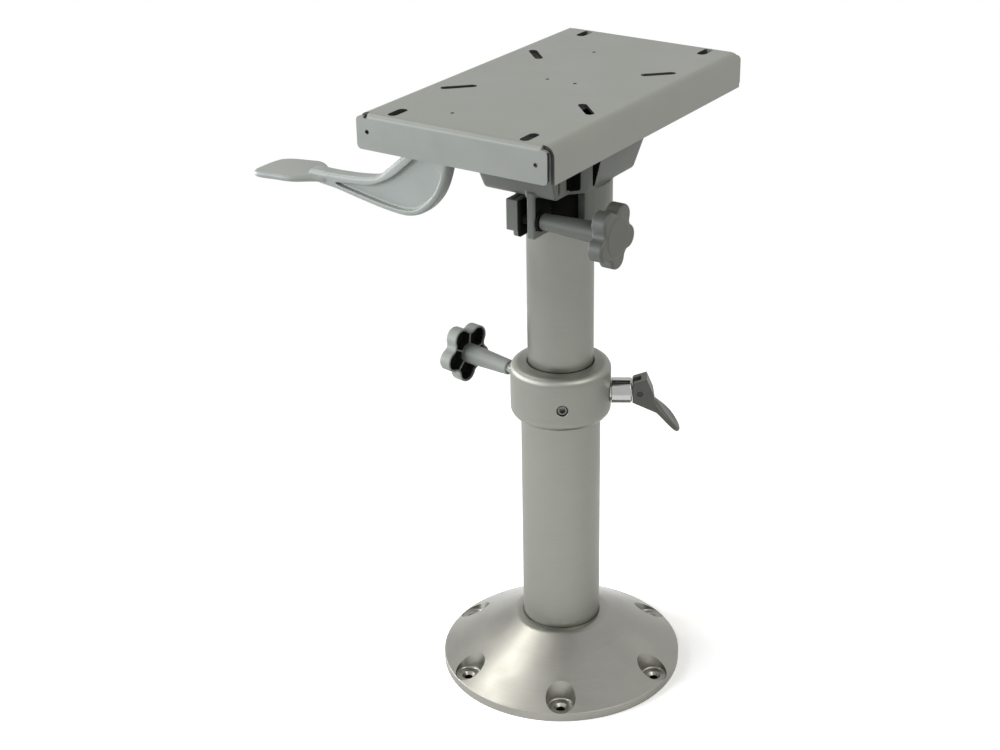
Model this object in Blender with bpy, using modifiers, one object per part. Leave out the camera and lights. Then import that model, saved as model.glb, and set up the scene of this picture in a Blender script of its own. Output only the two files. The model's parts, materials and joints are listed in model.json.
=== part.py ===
"""Adjustable boat seat pedestal with a swivelling head and a fore-and-aft seat slide.

Units are metres and Z is up. The origin is the centre of the base's underside.
The seat plate slides along Y, and the slide's release lever sticks out towards -X.
"""

import math

import bmesh
import bpy

# Fits shared by every piece
SEAT_GAP = 0.0003
RUNNING_GAP = 0.0005
ROUND_STEPS = 40
INNER_STEPS = 32
SMALL_STEPS = 16
SCREW_STEPS = 12
BASE_STEPS = 54
SLOT_STEPS = 3
HOLE_STEPS = 8
COIL_STEPS = 8
OVERRUN = 0.01
BITE = 0.001
SMOOTH_ANGLE = math.radians(35)

# Base
BASE_RADIUS = 0.1143
BASE_RIM_HEIGHT = 0.0085
BASE_HEIGHT = 0.052
BASE_LAND_WIDTH = 0.0055
BASE_WALL = 0.006
BASE_FLOOR = 0.004
BASE_FOOT_WIDTH = 0.030
BASE_HUB_WALL = 0.0075
BASE_RIB_WIDTH = 0.005
BASE_RIB_LIFT = 0.003
BASE_SCREW_COUNT = 6
BASE_SCREW_INSET = 0.0123
BASE_SCREW_ANGLE = math.radians(1.2)
BASE_SPOTFACE_RADIUS = 0.0148
BASE_SPOTFACE_HEIGHT = 0.0078
BASE_COUNTERSINK_RADIUS = 0.0063
BASE_COUNTERSINK_DEPTH = 0.0024
BASE_SCREW_HOLE_RADIUS = 0.0039

# Tubes
OUTER_TUBE_RADIUS = 0.0365
OUTER_TUBE_WALL = 0.003
OUTER_TUBE_TOP = 0.300
INNER_TUBE_RADIUS = 0.030
INNER_TUBE_WALL = 0.003
INNER_TUBE_BOTTOM = 0.143
INNER_TUBE_INSET = 0.013
GUIDE_BUSH_LENGTH = 0.045
GUIDE_FOOT_FLANGE = 0.017
GUIDE_FOOT_SPIGOT = 0.020
GUIDE_FOOT_BORE = 0.020

# Collar
COLLAR_RADIUS = 0.046
COLLAR_DROP = 0.036
COLLAR_HEIGHT = 0.0525
COLLAR_TOP_ROUNDING = 0.008
COLLAR_BOTTOM_STEP = 0.0012
COLLAR_MOUTH_GAP = 0.001
COLLAR_ROUNDING_STEPS = 3
SET_SCREW_ANGLES = (math.radians(-56.5), math.radians(123.5))
SET_SCREW_RISE = 0.0225
SET_SCREW_RADIUS = 0.005
SET_SCREW_SINK = 0.0012
SET_SCREW_SOCKET_RADIUS = 0.0029
SET_SCREW_SOCKET_DEPTH = 0.004

# Lock pin, its barrel and the cam lever that pulls it
PIN_ANGLE = math.radians(30.5)
PIN_RISE = 0.022
PIN_NOSE_RADIUS = 0.006
PIN_NOSE_CHAMFER = 0.001
PIN_STEM_RADIUS = 0.0035
PIN_STROKE = 0.014
BARREL_RADIUS = 0.012
BARREL_END = 0.065
BARREL_END_WALL = 0.003
BARREL_NECK_RADIUS = 0.009
BARREL_NECK_START = 0.0385
BARREL_CHAMFER = 0.0012
CAM_PIVOT = 0.0723
CAM_PIVOT_RADIUS = 0.0022
CAM_WIDTH = 0.019
CAM_HEAD_HEIGHT = 0.0112
CAM_HEAD_DROP = 0.0085
CAM_HEAD_BACK = 0.0124
CAM_HEAD_SLOPE = 0.0035
CAM_CORNER_RADIUS = 0.003
CAM_CHIN = (0.0154, -0.0187)
CAM_SLOT_ROOM = 0.0092
TONGUE_WIDTH = 2 * PIN_STEM_RADIUS
TONGUE_HEIGHT = 0.011
TONGUE_LENGTH = 0.0065
HANDLE_ANGLE = math.radians(49)
HANDLE_ROOT = (0.0118, -0.0122)
HANDLE_OUTLINE = ((0, 0.0070), (0.0085, 0.0100), (0.0185, 0.0124), (0.0285, 0.0105), (0.0350, 0.0060))
HANDLE_TIP = 0.0375
HANDLE_THICKNESS = 0.0062
HANDLE_EDGE = 0.0024
CAM_EDGE = 0.0008
LOCK_SPRING_WIRE = 0.0011
LOCK_SPRING_TURNS = 3
LOCK_SPRING_PITCH = 0.00121

# Star knobs and the screws that they turn
KNOB_LOBES = 5
KNOB_RADIUS = 0.0288
KNOB_LOBE_RADIUS = 0.0104
KNOB_VALLEY_RADIUS = 0.0058
KNOB_THICKNESS = 0.014
KNOB_FACE = 0.003
KNOB_WALL = 0.002
KNOB_RIB = 0.0016
KNOB_EDGE = 0.0018
KNOB_RIM_EDGE = 0.0006
KNOB_STEM_ROOT = 0.0095
KNOB_STEM_END = 0.0072
KNOB_STEM_SHANK = 0.004
KNOB_STEM_CHAMFER = 0.001
KNOB_SCREW_RADIUS = 0.005
KNOB_SCREW_GRIP = 0.028
LOCK_KNOB_ANGLE = math.radians(171.5)
LOCK_KNOB_RISE = 0.0258
LOCK_KNOB_TURN = math.radians(9)
CLAMP_KNOB_TURN = math.radians(3)
LOCK_KNOB_STEM_START = 0.0615
LOCK_KNOB_STEM_LENGTH = 0.0515
LOCK_PAD_LENGTH = 0.004
CLAMP_KNOB_STEM_LENGTH = 0.0605
CLAMP_WASHER_THICKNESS = 0.0018
CLAMP_WASHER_RADIUS = 0.009

# Head casting: a tapered box over a split clamp round the inner tube
HEAD_BOTTOM = 0.490
HEAD_HEIGHT = 0.051
HEAD_BOTTOM_HALF = (0.042, 0.056)
HEAD_TAPER = 0.013
HEAD_WALL = 0.005
HEAD_FLOOR = 0.006
HEAD_EDGE = 0.003
HEAD_BORE_TOP_WALL = 0.0094
CLAMP_DROP = 0.037
CLAMP_HUB_RADIUS = 0.046
CLAMP_HUB_START = math.radians(-31)
CLAMP_HUB_END = math.radians(152)
CLAMP_BAND_WALL = 0.0055
CLAMP_BAND_GAP = 0.004
CLAMP_WINDOW_SILL = 0.007
CLAMP_SILL_WALL = 0.003
CLAMP_SLIT = 0.007
EAR_THICKNESS = 0.0077
EAR_FRONT = 0.059
EAR_EDGE = 0.0012
CLAMP_BOLT_REACH = 0.050
CLAMP_BOLT_DROP = 0.022
CLAMP_NUT_THICKNESS = 0.0053
CLAMP_NUT_WIDTH = 0.018
CLAMP_NUT_HEIGHT = 0.028
CLAMP_NUT_DROP = 0.010
RELIEF_START = 0.030
RELIEF_BACK = 0.014
RELIEF_ROOF = 0.005
RELIEF_STEP = 0.0006
RELIEF_POCKETS = ((-0.051, -0.0485), (-0.038, -0.027), (-0.0165, -0.0136))
RELIEF_POCKET_DEPTH = 0.006
RELIEF_POCKET_WALL = 0.005
RELIEF_POCKET_FLOOR = 0.004
SWIVEL_SLEEVE_WALL = 0.0029
THRUST_DISC_THICKNESS = 0.0029

# Slide
SLIDE_TRAVEL = 0.060
SLIDE_BASE_THICKNESS = 0.003
SLIDE_BASE_HALF = (0.054, 0.075)
SLIDE_SCREW_PLACE = (0.018, 0.055)
SLIDE_SCREW_RADIUS = 0.004
SLIDE_SCREW_HEAD_RADIUS = 0.0075
SLIDE_SCREW_HEAD_HEIGHT = 0.0035
SLIDE_SCREW_LENGTH = 0.020
SLIDE_BOSS_RADIUS = 0.008
RAIL_PLACE = 0.040
LOWER_RAIL_WIDTH = 0.024
LOWER_RAIL_HEIGHT = 0.0154
LOWER_RAIL_WALL = 0.002
LOWER_RAIL_MOUTH = 0.010
UPPER_RAIL_INSET = 0.0225
UPPER_RAIL_WIDTH = 0.020
UPPER_RAIL_WALL = 0.003
UPPER_RAIL_FOOT = 0.014
UPPER_RAIL_FOOT_HEIGHT = 0.0055
GLIDE_LENGTH = 0.020
RACK_PLACE = 0.003
RACK_WIDTH = 0.014
RACK_THICKNESS = 0.0025
RACK_HEIGHT = 0.016
RACK_PITCH = 0.012
RACK_WINDOW = (0.0075, 0.006)

# Seat plate
PLATE_WIDTH = 0.184
PLATE_LENGTH = 0.321
PLATE_RISE = 0.035
PLATE_SHEET = 0.003
PLATE_DEPTH = 0.0306
PLATE_BEND = 0.009
PLATE_END_BEND = 0.0045
PLATE_END_GAP = 0.0012
PLATE_END_SETBACK = 0.0015
PLATE_END_CORNER = 0.004
PLATE_END_DROP = 0.003
PLATE_END_NECK = 0.009
PLATE_END_HOLE_INSET = 0.012
PLATE_END_HOLE_DROP = 0.0155
PLATE_END_HOLE_RADIUS = 0.0019
PLATE_RELIEF_INSET = 0.0115
PLATE_RELIEF_RADIUS = 0.0014
PLATE_STRIP = 0.012
BEND_STEPS = 4
CORNER_SLOT_INSET = (0.0295, 0.0155)
CORNER_SLOT_LENGTH = 0.021
CORNER_SLOT_WIDTH = 0.0085
DIAGONAL_SLOT_INSET = 0.030
DIAGONAL_SLOT_PLACE = 0.060
DIAGONAL_SLOT_LENGTH = 0.031
DIAGONAL_SLOT_WIDTH = 0.0075
PIN_HOLES = ((0.016, -0.0016), (-0.011, -0.0019), (-0.024, -0.124), (-0.0216, 0.093))
PIN_HOLE_RADIUS = 0.0016

# Slide release: lever, rod, pawl and spring turn together
LEVER_PIVOT_PLACE = -0.020
LEVER_PIVOT_RISE = 0.012
LEVER_THICKNESS = 0.014
LEVER_WEB = 0.005
LEVER_EDGE = 0.0022
PADDLE_DROP = 0.0395
PADDLE_THICKNESS = 0.0055
PADDLE_EDGE = 0.0019
OUTLINE_STEPS = 2
ROD_RADIUS = 0.004
ROD_END = 0.030
ROD_SINK = 0.004
ROD_SCREW_RADIUS = 0.0025
ROD_SCREW_HEAD = 0.0045
ROD_SCREW_LENGTH = 0.012
BRACKET_FRONT_GAP = 0.013
BRACKET_BACK = 0.022
BRACKET_THICKNESS = 0.003
BRACKET_HALF_WIDTH = 0.0065
BRACKET_DROP = 0.006
PAWL_HALF_LENGTH = 0.010
PAWL_THICKNESS = 0.003
PAWL_HUB_RADIUS = 0.007
PAWL_TOOTH = (0.004, 0.004)
RETURN_SPRING_GAP = 0.018
RETURN_SPRING_WIRE = 0.0014
RETURN_SPRING_TURNS = 4
RETURN_SPRING_PITCH = 0.00175

# Outlines of the lever, seen from its front about the pivot, and of the paddle from above
LEVER_OUTLINE = (
    (-0.1260, -0.0455), (-0.1000, -0.0495), (-0.0735, -0.0545), (-0.0480, -0.0585),
    (-0.0285, -0.0592), (-0.0120, -0.0530), (0.0024, -0.0381), (0.0110, -0.0180),
    (0.0128, 0.0000), (0.0000, 0.0125), (-0.0155, 0.0045), (-0.0330, -0.0095),
    (-0.0490, -0.0232), (-0.0600, -0.0307), (-0.0800, -0.0340), (-0.1035, -0.0354),
    (-0.1280, -0.0365),
)
LEVER_RECESS = (
    (-0.1010, -0.0440), (-0.0735, -0.0495), (-0.0480, -0.0535), (-0.0290, -0.0542),
    (-0.0155, -0.0490), (-0.0015, -0.0350), (0.0055, -0.0185), (0.0000, -0.0125),
    (-0.0170, -0.0080), (-0.0280, -0.0160), (-0.0440, -0.0290), (-0.0650, -0.0390),
    (-0.0880, -0.0415),
)
PADDLE_OUTLINE = (
    (-0.1100, 0.0065), (-0.1100, -0.0065), (-0.1210, -0.0120), (-0.1360, -0.0215),
    (-0.1530, -0.0245), (-0.1680, -0.0265), (-0.1745, -0.0220), (-0.1755, -0.0100),
    (-0.1750, 0.0020), (-0.1725, 0.0115), (-0.1650, 0.0175), (-0.1515, 0.0215),
    (-0.1390, 0.0238), (-0.1280, 0.0180), (-0.1200, 0.0090),
)

# Places worked out from the sizes above
OUTER_BORE = OUTER_TUBE_RADIUS - OUTER_TUBE_WALL
COLLAR_BOTTOM = OUTER_TUBE_TOP - COLLAR_DROP
COLLAR_TOP = COLLAR_BOTTOM + COLLAR_HEIGHT
SET_SCREW_HEIGHT = COLLAR_BOTTOM + SET_SCREW_RISE
PIN_HEIGHT = COLLAR_BOTTOM + PIN_RISE
LOCK_KNOB_HEIGHT = COLLAR_BOTTOM + LOCK_KNOB_RISE
LOCK_SPRING_END = BARREL_END - BARREL_END_WALL - SEAT_GAP
LOCK_SPRING_START = LOCK_SPRING_END - LOCK_SPRING_PITCH * LOCK_SPRING_TURNS - LOCK_SPRING_WIRE
PIN_SHOULDER = LOCK_SPRING_START - SEAT_GAP - PIN_STROKE
HEAD_TOP = HEAD_BOTTOM + HEAD_HEIGHT
INNER_TUBE_TOP = HEAD_TOP - INNER_TUBE_INSET
CLAMP_BOTTOM = HEAD_BOTTOM - CLAMP_DROP
CLAMP_BOLT_HEIGHT = HEAD_BOTTOM - CLAMP_BOLT_DROP
HEAD_FAR = max(HEAD_BOTTOM_HALF) + HEAD_TAPER + 2 * OVERRUN
TUBE_SEAT = BASE_FLOOR + SEAT_GAP
SLEEVE_RADIUS = INNER_TUBE_RADIUS + SEAT_GAP + SWIVEL_SLEEVE_WALL
HEAD_BORE = SLEEVE_RADIUS + SEAT_GAP
THRUST_BOTTOM = INNER_TUBE_TOP + SEAT_GAP
THRUST_TOP = THRUST_BOTTOM + THRUST_DISC_THICKNESS
EAR_INNER = CLAMP_SLIT / 2
EAR_OUTER = EAR_INNER + EAR_THICKNESS
BAND_TOP = HEAD_BOTTOM - CLAMP_BAND_GAP
SLIDE_BASE_BOTTOM = HEAD_TOP + SEAT_GAP
SLIDE_BASE_TOP = SLIDE_BASE_BOTTOM + SLIDE_BASE_THICKNESS
RAIL_BOTTOM = SLIDE_BASE_TOP + SEAT_GAP
PLATE_TOP = HEAD_TOP + PLATE_RISE
PLATE_UNDERSIDE = PLATE_TOP - PLATE_SHEET
PLATE_FLANGE_BOTTOM = PLATE_TOP - PLATE_DEPTH
PLATE_END = PLATE_LENGTH / 2
PLATE_SIDE = PLATE_WIDTH / 2
PLATE_END_HALF = PLATE_SIDE - PLATE_END_SETBACK
PLATE_RELIEF_PLACE = PLATE_SIDE - PLATE_RELIEF_INSET
CORNER_SLOT = (PLATE_SIDE - CORNER_SLOT_INSET[0], PLATE_END - CORNER_SLOT_INSET[1])
DIAGONAL_SLOT = (PLATE_SIDE - DIAGONAL_SLOT_INSET, DIAGONAL_SLOT_PLACE)
UPPER_RAIL_END = PLATE_END - UPPER_RAIL_INSET
FLAP_INNER = PLATE_END - PLATE_SHEET
LEVER_FRONT = -FLAP_INNER + RUNNING_GAP
LEVER_BACK = LEVER_FRONT + LEVER_THICKNESS
LEVER_MIDDLE = (LEVER_FRONT + LEVER_BACK) / 2
LEVER_PIVOT = (LEVER_PIVOT_PLACE, HEAD_TOP + LEVER_PIVOT_RISE)
BRACKET_PLACES = (LEVER_BACK + BRACKET_FRONT_GAP, BRACKET_BACK)
RETURN_SPRING_PLACE = BRACKET_PLACES[0] + RETURN_SPRING_GAP

FACING_Y = (math.pi / 2, 0, 0)
FACING_X = (math.pi / 2, 0, math.pi / 2)
ALONG_X = (0, math.pi / 2, 0)
ALONG_Y = (-math.pi / 2, 0, 0)

COLOURS = {
    "spun_aluminium": ((0.52, 0.53, 0.50), 0.32, 1.0),
    "satin_aluminium": ((0.36, 0.36, 0.33), 0.42, 1.0),
    "painted_casting": ((0.15, 0.16, 0.145), 0.55, 0.0),
    "painted_sheet": ((0.38, 0.39, 0.36), 0.45, 0.0),
    "grey_plastic": ((0.28, 0.29, 0.27), 0.5, 0.0),
    "dark_plastic": ((0.10, 0.11, 0.10), 0.5, 0.0),
    "light_plastic": ((0.40, 0.43, 0.42), 0.45, 0.0),
    "black_nylon": ((0.02, 0.02, 0.018), 0.6, 0.0),
    "white_nylon": ((0.72, 0.72, 0.68), 0.5, 0.0),
    "chrome": ((0.80, 0.80, 0.80), 0.08, 1.0),
    "zinc_steel": ((0.55, 0.56, 0.55), 0.35, 1.0),
    "spring_steel": ((0.30, 0.30, 0.30), 0.3, 1.0),
    "dark_casting": ((0.075, 0.078, 0.07), 0.5, 0.0),
}


# Scene helpers


def clear_scene():
    for obj in list(bpy.data.objects):
        bpy.data.objects.remove(obj)


def new_collection(name):
    collection = bpy.data.collections.new(name)
    bpy.context.scene.collection.children.link(collection)
    return collection


def new_material(name, colour, roughness, metallic):
    material = bpy.data.materials.new(name)
    material.use_nodes = True
    shader = material.node_tree.nodes["Principled BSDF"]
    shader.inputs["Base Color"].default_value = (*colour, 1.0)
    shader.inputs["Roughness"].default_value = roughness
    shader.inputs["Metallic"].default_value = metallic
    return material


clear_scene()
PARTS = new_collection("boat_seat_pedestal")
CUTTERS = new_collection("cutters")


def pivot(name, location=(0, 0, 0), rotation=(0, 0, 0), parent=None):
    """An empty on a joint's axis, which carries the pieces that move about it."""
    empty = bpy.data.objects.new(name, None)
    empty.empty_display_size = 0.02
    empty.location = location
    empty.rotation_euler = rotation
    empty.parent = parent
    PARTS.objects.link(empty)
    return empty


def add_piece(name, mesh, look, parent=None, location=(0, 0, 0), rotation=(0, 0, 0)):
    """A solid with a material of its own, or a cutter where it has no look."""
    obj = bpy.data.objects.new(name, mesh)
    obj.location = location
    obj.rotation_euler = rotation
    obj.parent = parent
    if look:
        mesh.materials.append(new_material(name, *COLOURS[look]))
        PARTS.objects.link(obj)
    else:
        as_cutter(obj)
    return obj


def as_cutter(obj):
    """Keeps a solid as a tool that shapes another one."""
    for collection in list(obj.users_collection):
        collection.objects.unlink(obj)
    CUTTERS.objects.link(obj)
    obj.hide_render = True
    obj.display_type = "WIRE"


def combine(target, operation, tools):
    for tool in tools:
        as_cutter(tool)
        modifier = target.modifiers.new(f"{operation.lower()}_{tool.name}", "BOOLEAN")
        modifier.operation = operation
        modifier.object = tool


def cut(target, *tools):
    combine(target, "DIFFERENCE", tools)


def join(target, *tools):
    combine(target, "UNION", tools)


def round_edges(obj, width, segments=2, angle=math.radians(50)):
    bevel = obj.modifiers.new("rounded_edges", "BEVEL")
    bevel.width = width
    bevel.segments = segments
    bevel.limit_method = "ANGLE"
    bevel.angle_limit = angle


def finish_mesh(name, bm):
    bmesh.ops.recalc_face_normals(bm, faces=bm.faces)
    mesh = bpy.data.meshes.new(name)
    bm.to_mesh(mesh)
    bm.free()
    mesh.shade_smooth()
    mesh.set_sharp_from_angle(angle=SMOOTH_ANGLE)
    return mesh


# Basic solids


def box(name, low, high, look=None, **place):
    """A block from its lowest to its highest corner."""
    bm = bmesh.new()
    bmesh.ops.create_cube(bm, size=1)
    for vert in bm.verts:
        vert.co = [low[i] if vert.co[i] < 0 else high[i] for i in range(3)]
    return add_piece(name, finish_mesh(name, bm), look, **place)


def tapered_box(name, low, high, spread, look=None, **place):
    """A block whose top is wider than its bottom by the spread on each side."""
    bm = bmesh.new()
    bmesh.ops.create_cube(bm, size=1)
    for vert in bm.verts:
        at_top = vert.co.z > 0
        corner = [low[i] if vert.co[i] < 0 else high[i] for i in range(3)]
        for i in (0, 1):
            corner[i] += math.copysign(spread, vert.co[i]) if at_top else 0
        vert.co = corner
    return add_piece(name, finish_mesh(name, bm), look, **place)


def rod(name, radius, start, end, look=None, steps=SMALL_STEPS, **place):
    """A round bar along its own Z axis."""
    bm = bmesh.new()
    bmesh.ops.create_cone(
        bm, cap_ends=True, segments=steps, radius1=radius, radius2=radius, depth=end - start
    )
    bmesh.ops.translate(bm, verts=bm.verts, vec=(0, 0, (start + end) / 2))
    return add_piece(name, finish_mesh(name, bm), look, **place)


def turned(name, profile, look=None, steps=ROUND_STEPS, closed=True, **place):
    """A revolved solid. The profile of (radius, height) runs down its outer side."""
    mesh = bpy.data.meshes.new(name)
    count = len(profile)
    edges = [(i, (i + 1) % count) for i in range(count if closed else count - 1)]
    mesh.from_pydata([(radius, 0, height) for radius, height in profile], edges, [])
    obj = add_piece(name, mesh, look, **place)
    screw = obj.modifiers.new("turned", "SCREW")
    screw.steps = steps
    screw.render_steps = steps
    screw.use_merge_vertices = True
    screw.merge_threshold = 0.00001
    return obj


def lofted(name, sections, look=None, **place):
    """A solid through outlines of equal point counts, each at its height, flat at both ends."""
    bm = bmesh.new()
    rings = [[bm.verts.new((x, y, height)) for x, y in outline] for height, outline in sections]
    for low, high in zip(rings, rings[1:]):
        for i, vert in enumerate(low):
            k = (i + 1) % len(low)
            bm.faces.new((vert, low[k], high[k], high[i]))
    bm.faces.new(rings[0])
    bm.faces.new(rings[-1])
    return add_piece(name, finish_mesh(name, bm), look, **place)


def plate(name, outlines, thickness, look=None, **place):
    """A flat outline, with its holes as further outlines, given a thickness about its plane."""
    curve = bpy.data.curves.new(name, "CURVE")
    curve.dimensions = "2D"
    curve.fill_mode = "BOTH"
    curve.extrude = thickness / 2
    for outline in outlines:
        spline = curve.splines.new("POLY")
        spline.points.add(len(outline) - 1)
        for point, (x, y) in zip(spline.points, outline):
            point.co = (x, y, 0, 1)
        spline.use_cyclic_u = True
    return add_piece(name, mesh_from_curve(name, curve), look, **place)


def bar(name, points, radius, look=None, **place):
    """A round wire through the points."""
    curve = bpy.data.curves.new(name, "CURVE")
    curve.dimensions = "3D"
    curve.bevel_depth = radius
    curve.bevel_resolution = 1
    curve.use_fill_caps = True
    spline = curve.splines.new("POLY")
    spline.points.add(len(points) - 1)
    for point, place_of in zip(spline.points, points):
        point.co = (*place_of, 1)
    return add_piece(name, mesh_from_curve(name, curve), look, **place)


def mesh_from_curve(name, curve):
    guide = bpy.data.objects.new(f"{name}_guide", curve)
    bpy.context.scene.collection.objects.link(guide)
    graph = bpy.context.evaluated_depsgraph_get()
    mesh = bpy.data.meshes.new_from_object(guide.evaluated_get(graph))
    bpy.data.objects.remove(guide)
    bm = bmesh.new()
    bm.from_mesh(mesh)
    bpy.data.meshes.remove(mesh)
    bmesh.ops.remove_doubles(bm, verts=bm.verts, dist=0.000001)
    return finish_mesh(name, bm)


def arc(centre, radius, start, end, steps):
    """Points on an arc, both ends included, with the angles in degrees."""
    points = []
    for i in range(steps + 1):
        angle = math.radians(start + (end - start) * i / steps)
        points.append((centre[0] + radius * math.cos(angle), centre[1] + radius * math.sin(angle)))
    return points


def rectangle(low, high):
    return [(low[0], low[1]), (high[0], low[1]), (high[0], high[1]), (low[0], high[1])]


def circle_outline(centre, radius, steps=HOLE_STEPS):
    return arc(centre, radius, 0, 360 - 360 / steps, steps - 1)


def slot_outline(centre, length, width, angle=0.0, steps=SLOT_STEPS):
    """A slot with round ends, its length along the angle."""
    reach = (length - width) / 2
    degrees = math.degrees(angle)
    step = (reach * math.cos(angle), reach * math.sin(angle))
    ahead = (centre[0] + step[0], centre[1] + step[1])
    behind = (centre[0] - step[0], centre[1] - step[1])
    front = arc(ahead, width / 2, degrees - 90, degrees + 90, steps)
    back = arc(behind, width / 2, degrees + 90, degrees + 270, steps)
    return front + back


def smooth_outline(points, steps=3):
    """A closed Catmull-Rom curve through the points."""
    count = len(points)
    outline = []
    for i in range(count):
        before, here, after, beyond = (points[(i + k) % count] for k in (-1, 0, 1, 2))
        for step in range(steps):
            t = step / steps
            outline.append(
                tuple(
                    0.5
                    * (
                        2 * here[k]
                        + (after[k] - before[k]) * t
                        + (2 * before[k] - 5 * here[k] + 4 * after[k] - beyond[k]) * t**2
                        + (3 * here[k] - before[k] - 3 * after[k] + beyond[k]) * t**3
                    )
                    for k in (0, 1)
                )
            )
    return outline


def wedge(start, end, reach):
    """A pie slice about the axis between two angles in degrees."""
    return [(0, 0)] + arc((0, 0), reach, start, end, max(2, round((end - start) / 30)))


def coil(radius, pitch, turns, start, steps=COIL_STEPS):
    """Points of a coil round the X axis from the start towards +X."""
    points = []
    for i in range(turns * steps + 1):
        angle = 2 * math.pi * i / steps
        along = start + pitch * i / steps
        points.append((along, radius * math.cos(angle), radius * math.sin(angle)))
    return points


# Base and tubes


def make_base():
    """A spun cone with a flat foot, hollow below and ribbed round the tube's socket."""
    land = OUTER_TUBE_RADIUS + BASE_LAND_WIDTH
    slope = (BASE_HEIGHT - BASE_RIM_HEIGHT) / (BASE_RADIUS - land)
    socket = OUTER_TUBE_RADIUS + SEAT_GAP
    foot = BASE_RADIUS - BASE_FOOT_WIDTH
    hub = OUTER_TUBE_RADIUS + BASE_HUB_WALL
    screw_circle = BASE_RADIUS - BASE_SCREW_INSET
    foot_roof = BASE_RIM_HEIGHT + BASE_FOOT_WIDTH * slope - BASE_WALL
    hub_roof = BASE_RIM_HEIGHT + (BASE_RADIUS - hub) * slope - BASE_WALL
    base = turned(
        "base_flange",
        [
            (0, BASE_FLOOR),
            (socket, BASE_FLOOR),
            (socket, BASE_HEIGHT),
            (land, BASE_HEIGHT),
            (BASE_RADIUS, BASE_RIM_HEIGHT),
            (BASE_RADIUS, 0),
            (foot, 0),
            (foot - 2 * BITE, foot_roof),
            (hub, hub_roof),
            (hub, 0),
            (0, 0),
        ],
        "spun_aluminium",
        steps=BASE_STEPS,
        closed=False,
    )
    rib_low = hub - BITE
    for i in range(BASE_SCREW_COUNT):
        turn = BASE_SCREW_ANGLE + 2 * math.pi * i / BASE_SCREW_COUNT
        rib_turn = turn + math.pi / BASE_SCREW_COUNT
        rib = plate(
            f"base_rib_{i}",
            [
                [
                    (rib_low, BASE_RIB_LIFT),
                    (foot + BITE, BASE_RIB_LIFT),
                    (foot + BITE, foot_roof + BITE),
                    (rib_low, hub_roof + BITE),
                ]
            ],
            BASE_RIB_WIDTH,
            rotation=(math.pi / 2, 0, rib_turn),
        )
        join(base, rib)
        at = (screw_circle * math.cos(turn), screw_circle * math.sin(turn), 0)
        sink = BASE_SPOTFACE_HEIGHT - BASE_COUNTERSINK_DEPTH
        hole = turned(
            f"base_screw_hole_{i}",
            [
                (0, BASE_HEIGHT),
                (BASE_SPOTFACE_RADIUS, BASE_HEIGHT),
                (BASE_SPOTFACE_RADIUS, BASE_SPOTFACE_HEIGHT),
                (BASE_COUNTERSINK_RADIUS, BASE_SPOTFACE_HEIGHT),
                (BASE_SCREW_HOLE_RADIUS, sink),
                (BASE_SCREW_HOLE_RADIUS, -OVERRUN),
                (0, -OVERRUN),
            ],
            steps=SMALL_STEPS,
            closed=False,
            location=at,
        )
        cut(base, hole)
    return base


def ring(name, inner, outer, bottom, top, look, steps=ROUND_STEPS, **place):
    """A plain tube, bush or washer."""
    profile = [(inner, top), (outer, top), (outer, bottom), (inner, bottom)]
    return turned(name, profile, look, steps, **place)


def radial_hole(name, radius, angle, height):
    """A round hole through one wall, square to the post's axis."""
    holder = pivot(f"{name}_axis", (0, 0, height), (0, 0, angle))
    start = INNER_TUBE_RADIUS - OVERRUN
    end = COLLAR_RADIUS + OVERRUN
    return rod(name, radius, start, end, parent=holder, rotation=ALONG_X)


def make_outer_tube():
    tube = ring(
        "outer_tube", OUTER_BORE, OUTER_TUBE_RADIUS, TUBE_SEAT, OUTER_TUBE_TOP, "satin_aluminium"
    )
    pin_hole = radial_hole("tube_pin_hole", PIN_NOSE_RADIUS + RUNNING_GAP, PIN_ANGLE, PIN_HEIGHT)
    pad_hole = radial_hole(
        "tube_pad_hole", KNOB_SCREW_RADIUS + RUNNING_GAP, LOCK_KNOB_ANGLE, LOCK_KNOB_HEIGHT
    )
    cut(tube, pin_hole, pad_hole)


def make_guide_bush():
    """A nylon bush in the outer tube's mouth that steadies the inner tube."""
    bush = ring(
        "collar_guide_bush",
        INNER_TUBE_RADIUS + SEAT_GAP,
        OUTER_BORE - SEAT_GAP,
        OUTER_TUBE_TOP - GUIDE_BUSH_LENGTH,
        OUTER_TUBE_TOP,
        "white_nylon",
        steps=INNER_STEPS,
    )
    pin_hole = radial_hole("bush_pin_hole", PIN_NOSE_RADIUS + RUNNING_GAP, PIN_ANGLE, PIN_HEIGHT)
    pad_hole = radial_hole(
        "bush_pad_hole", KNOB_SCREW_RADIUS + RUNNING_GAP, LOCK_KNOB_ANGLE, LOCK_KNOB_HEIGHT
    )
    cut(bush, pin_hole, pad_hole)


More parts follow.
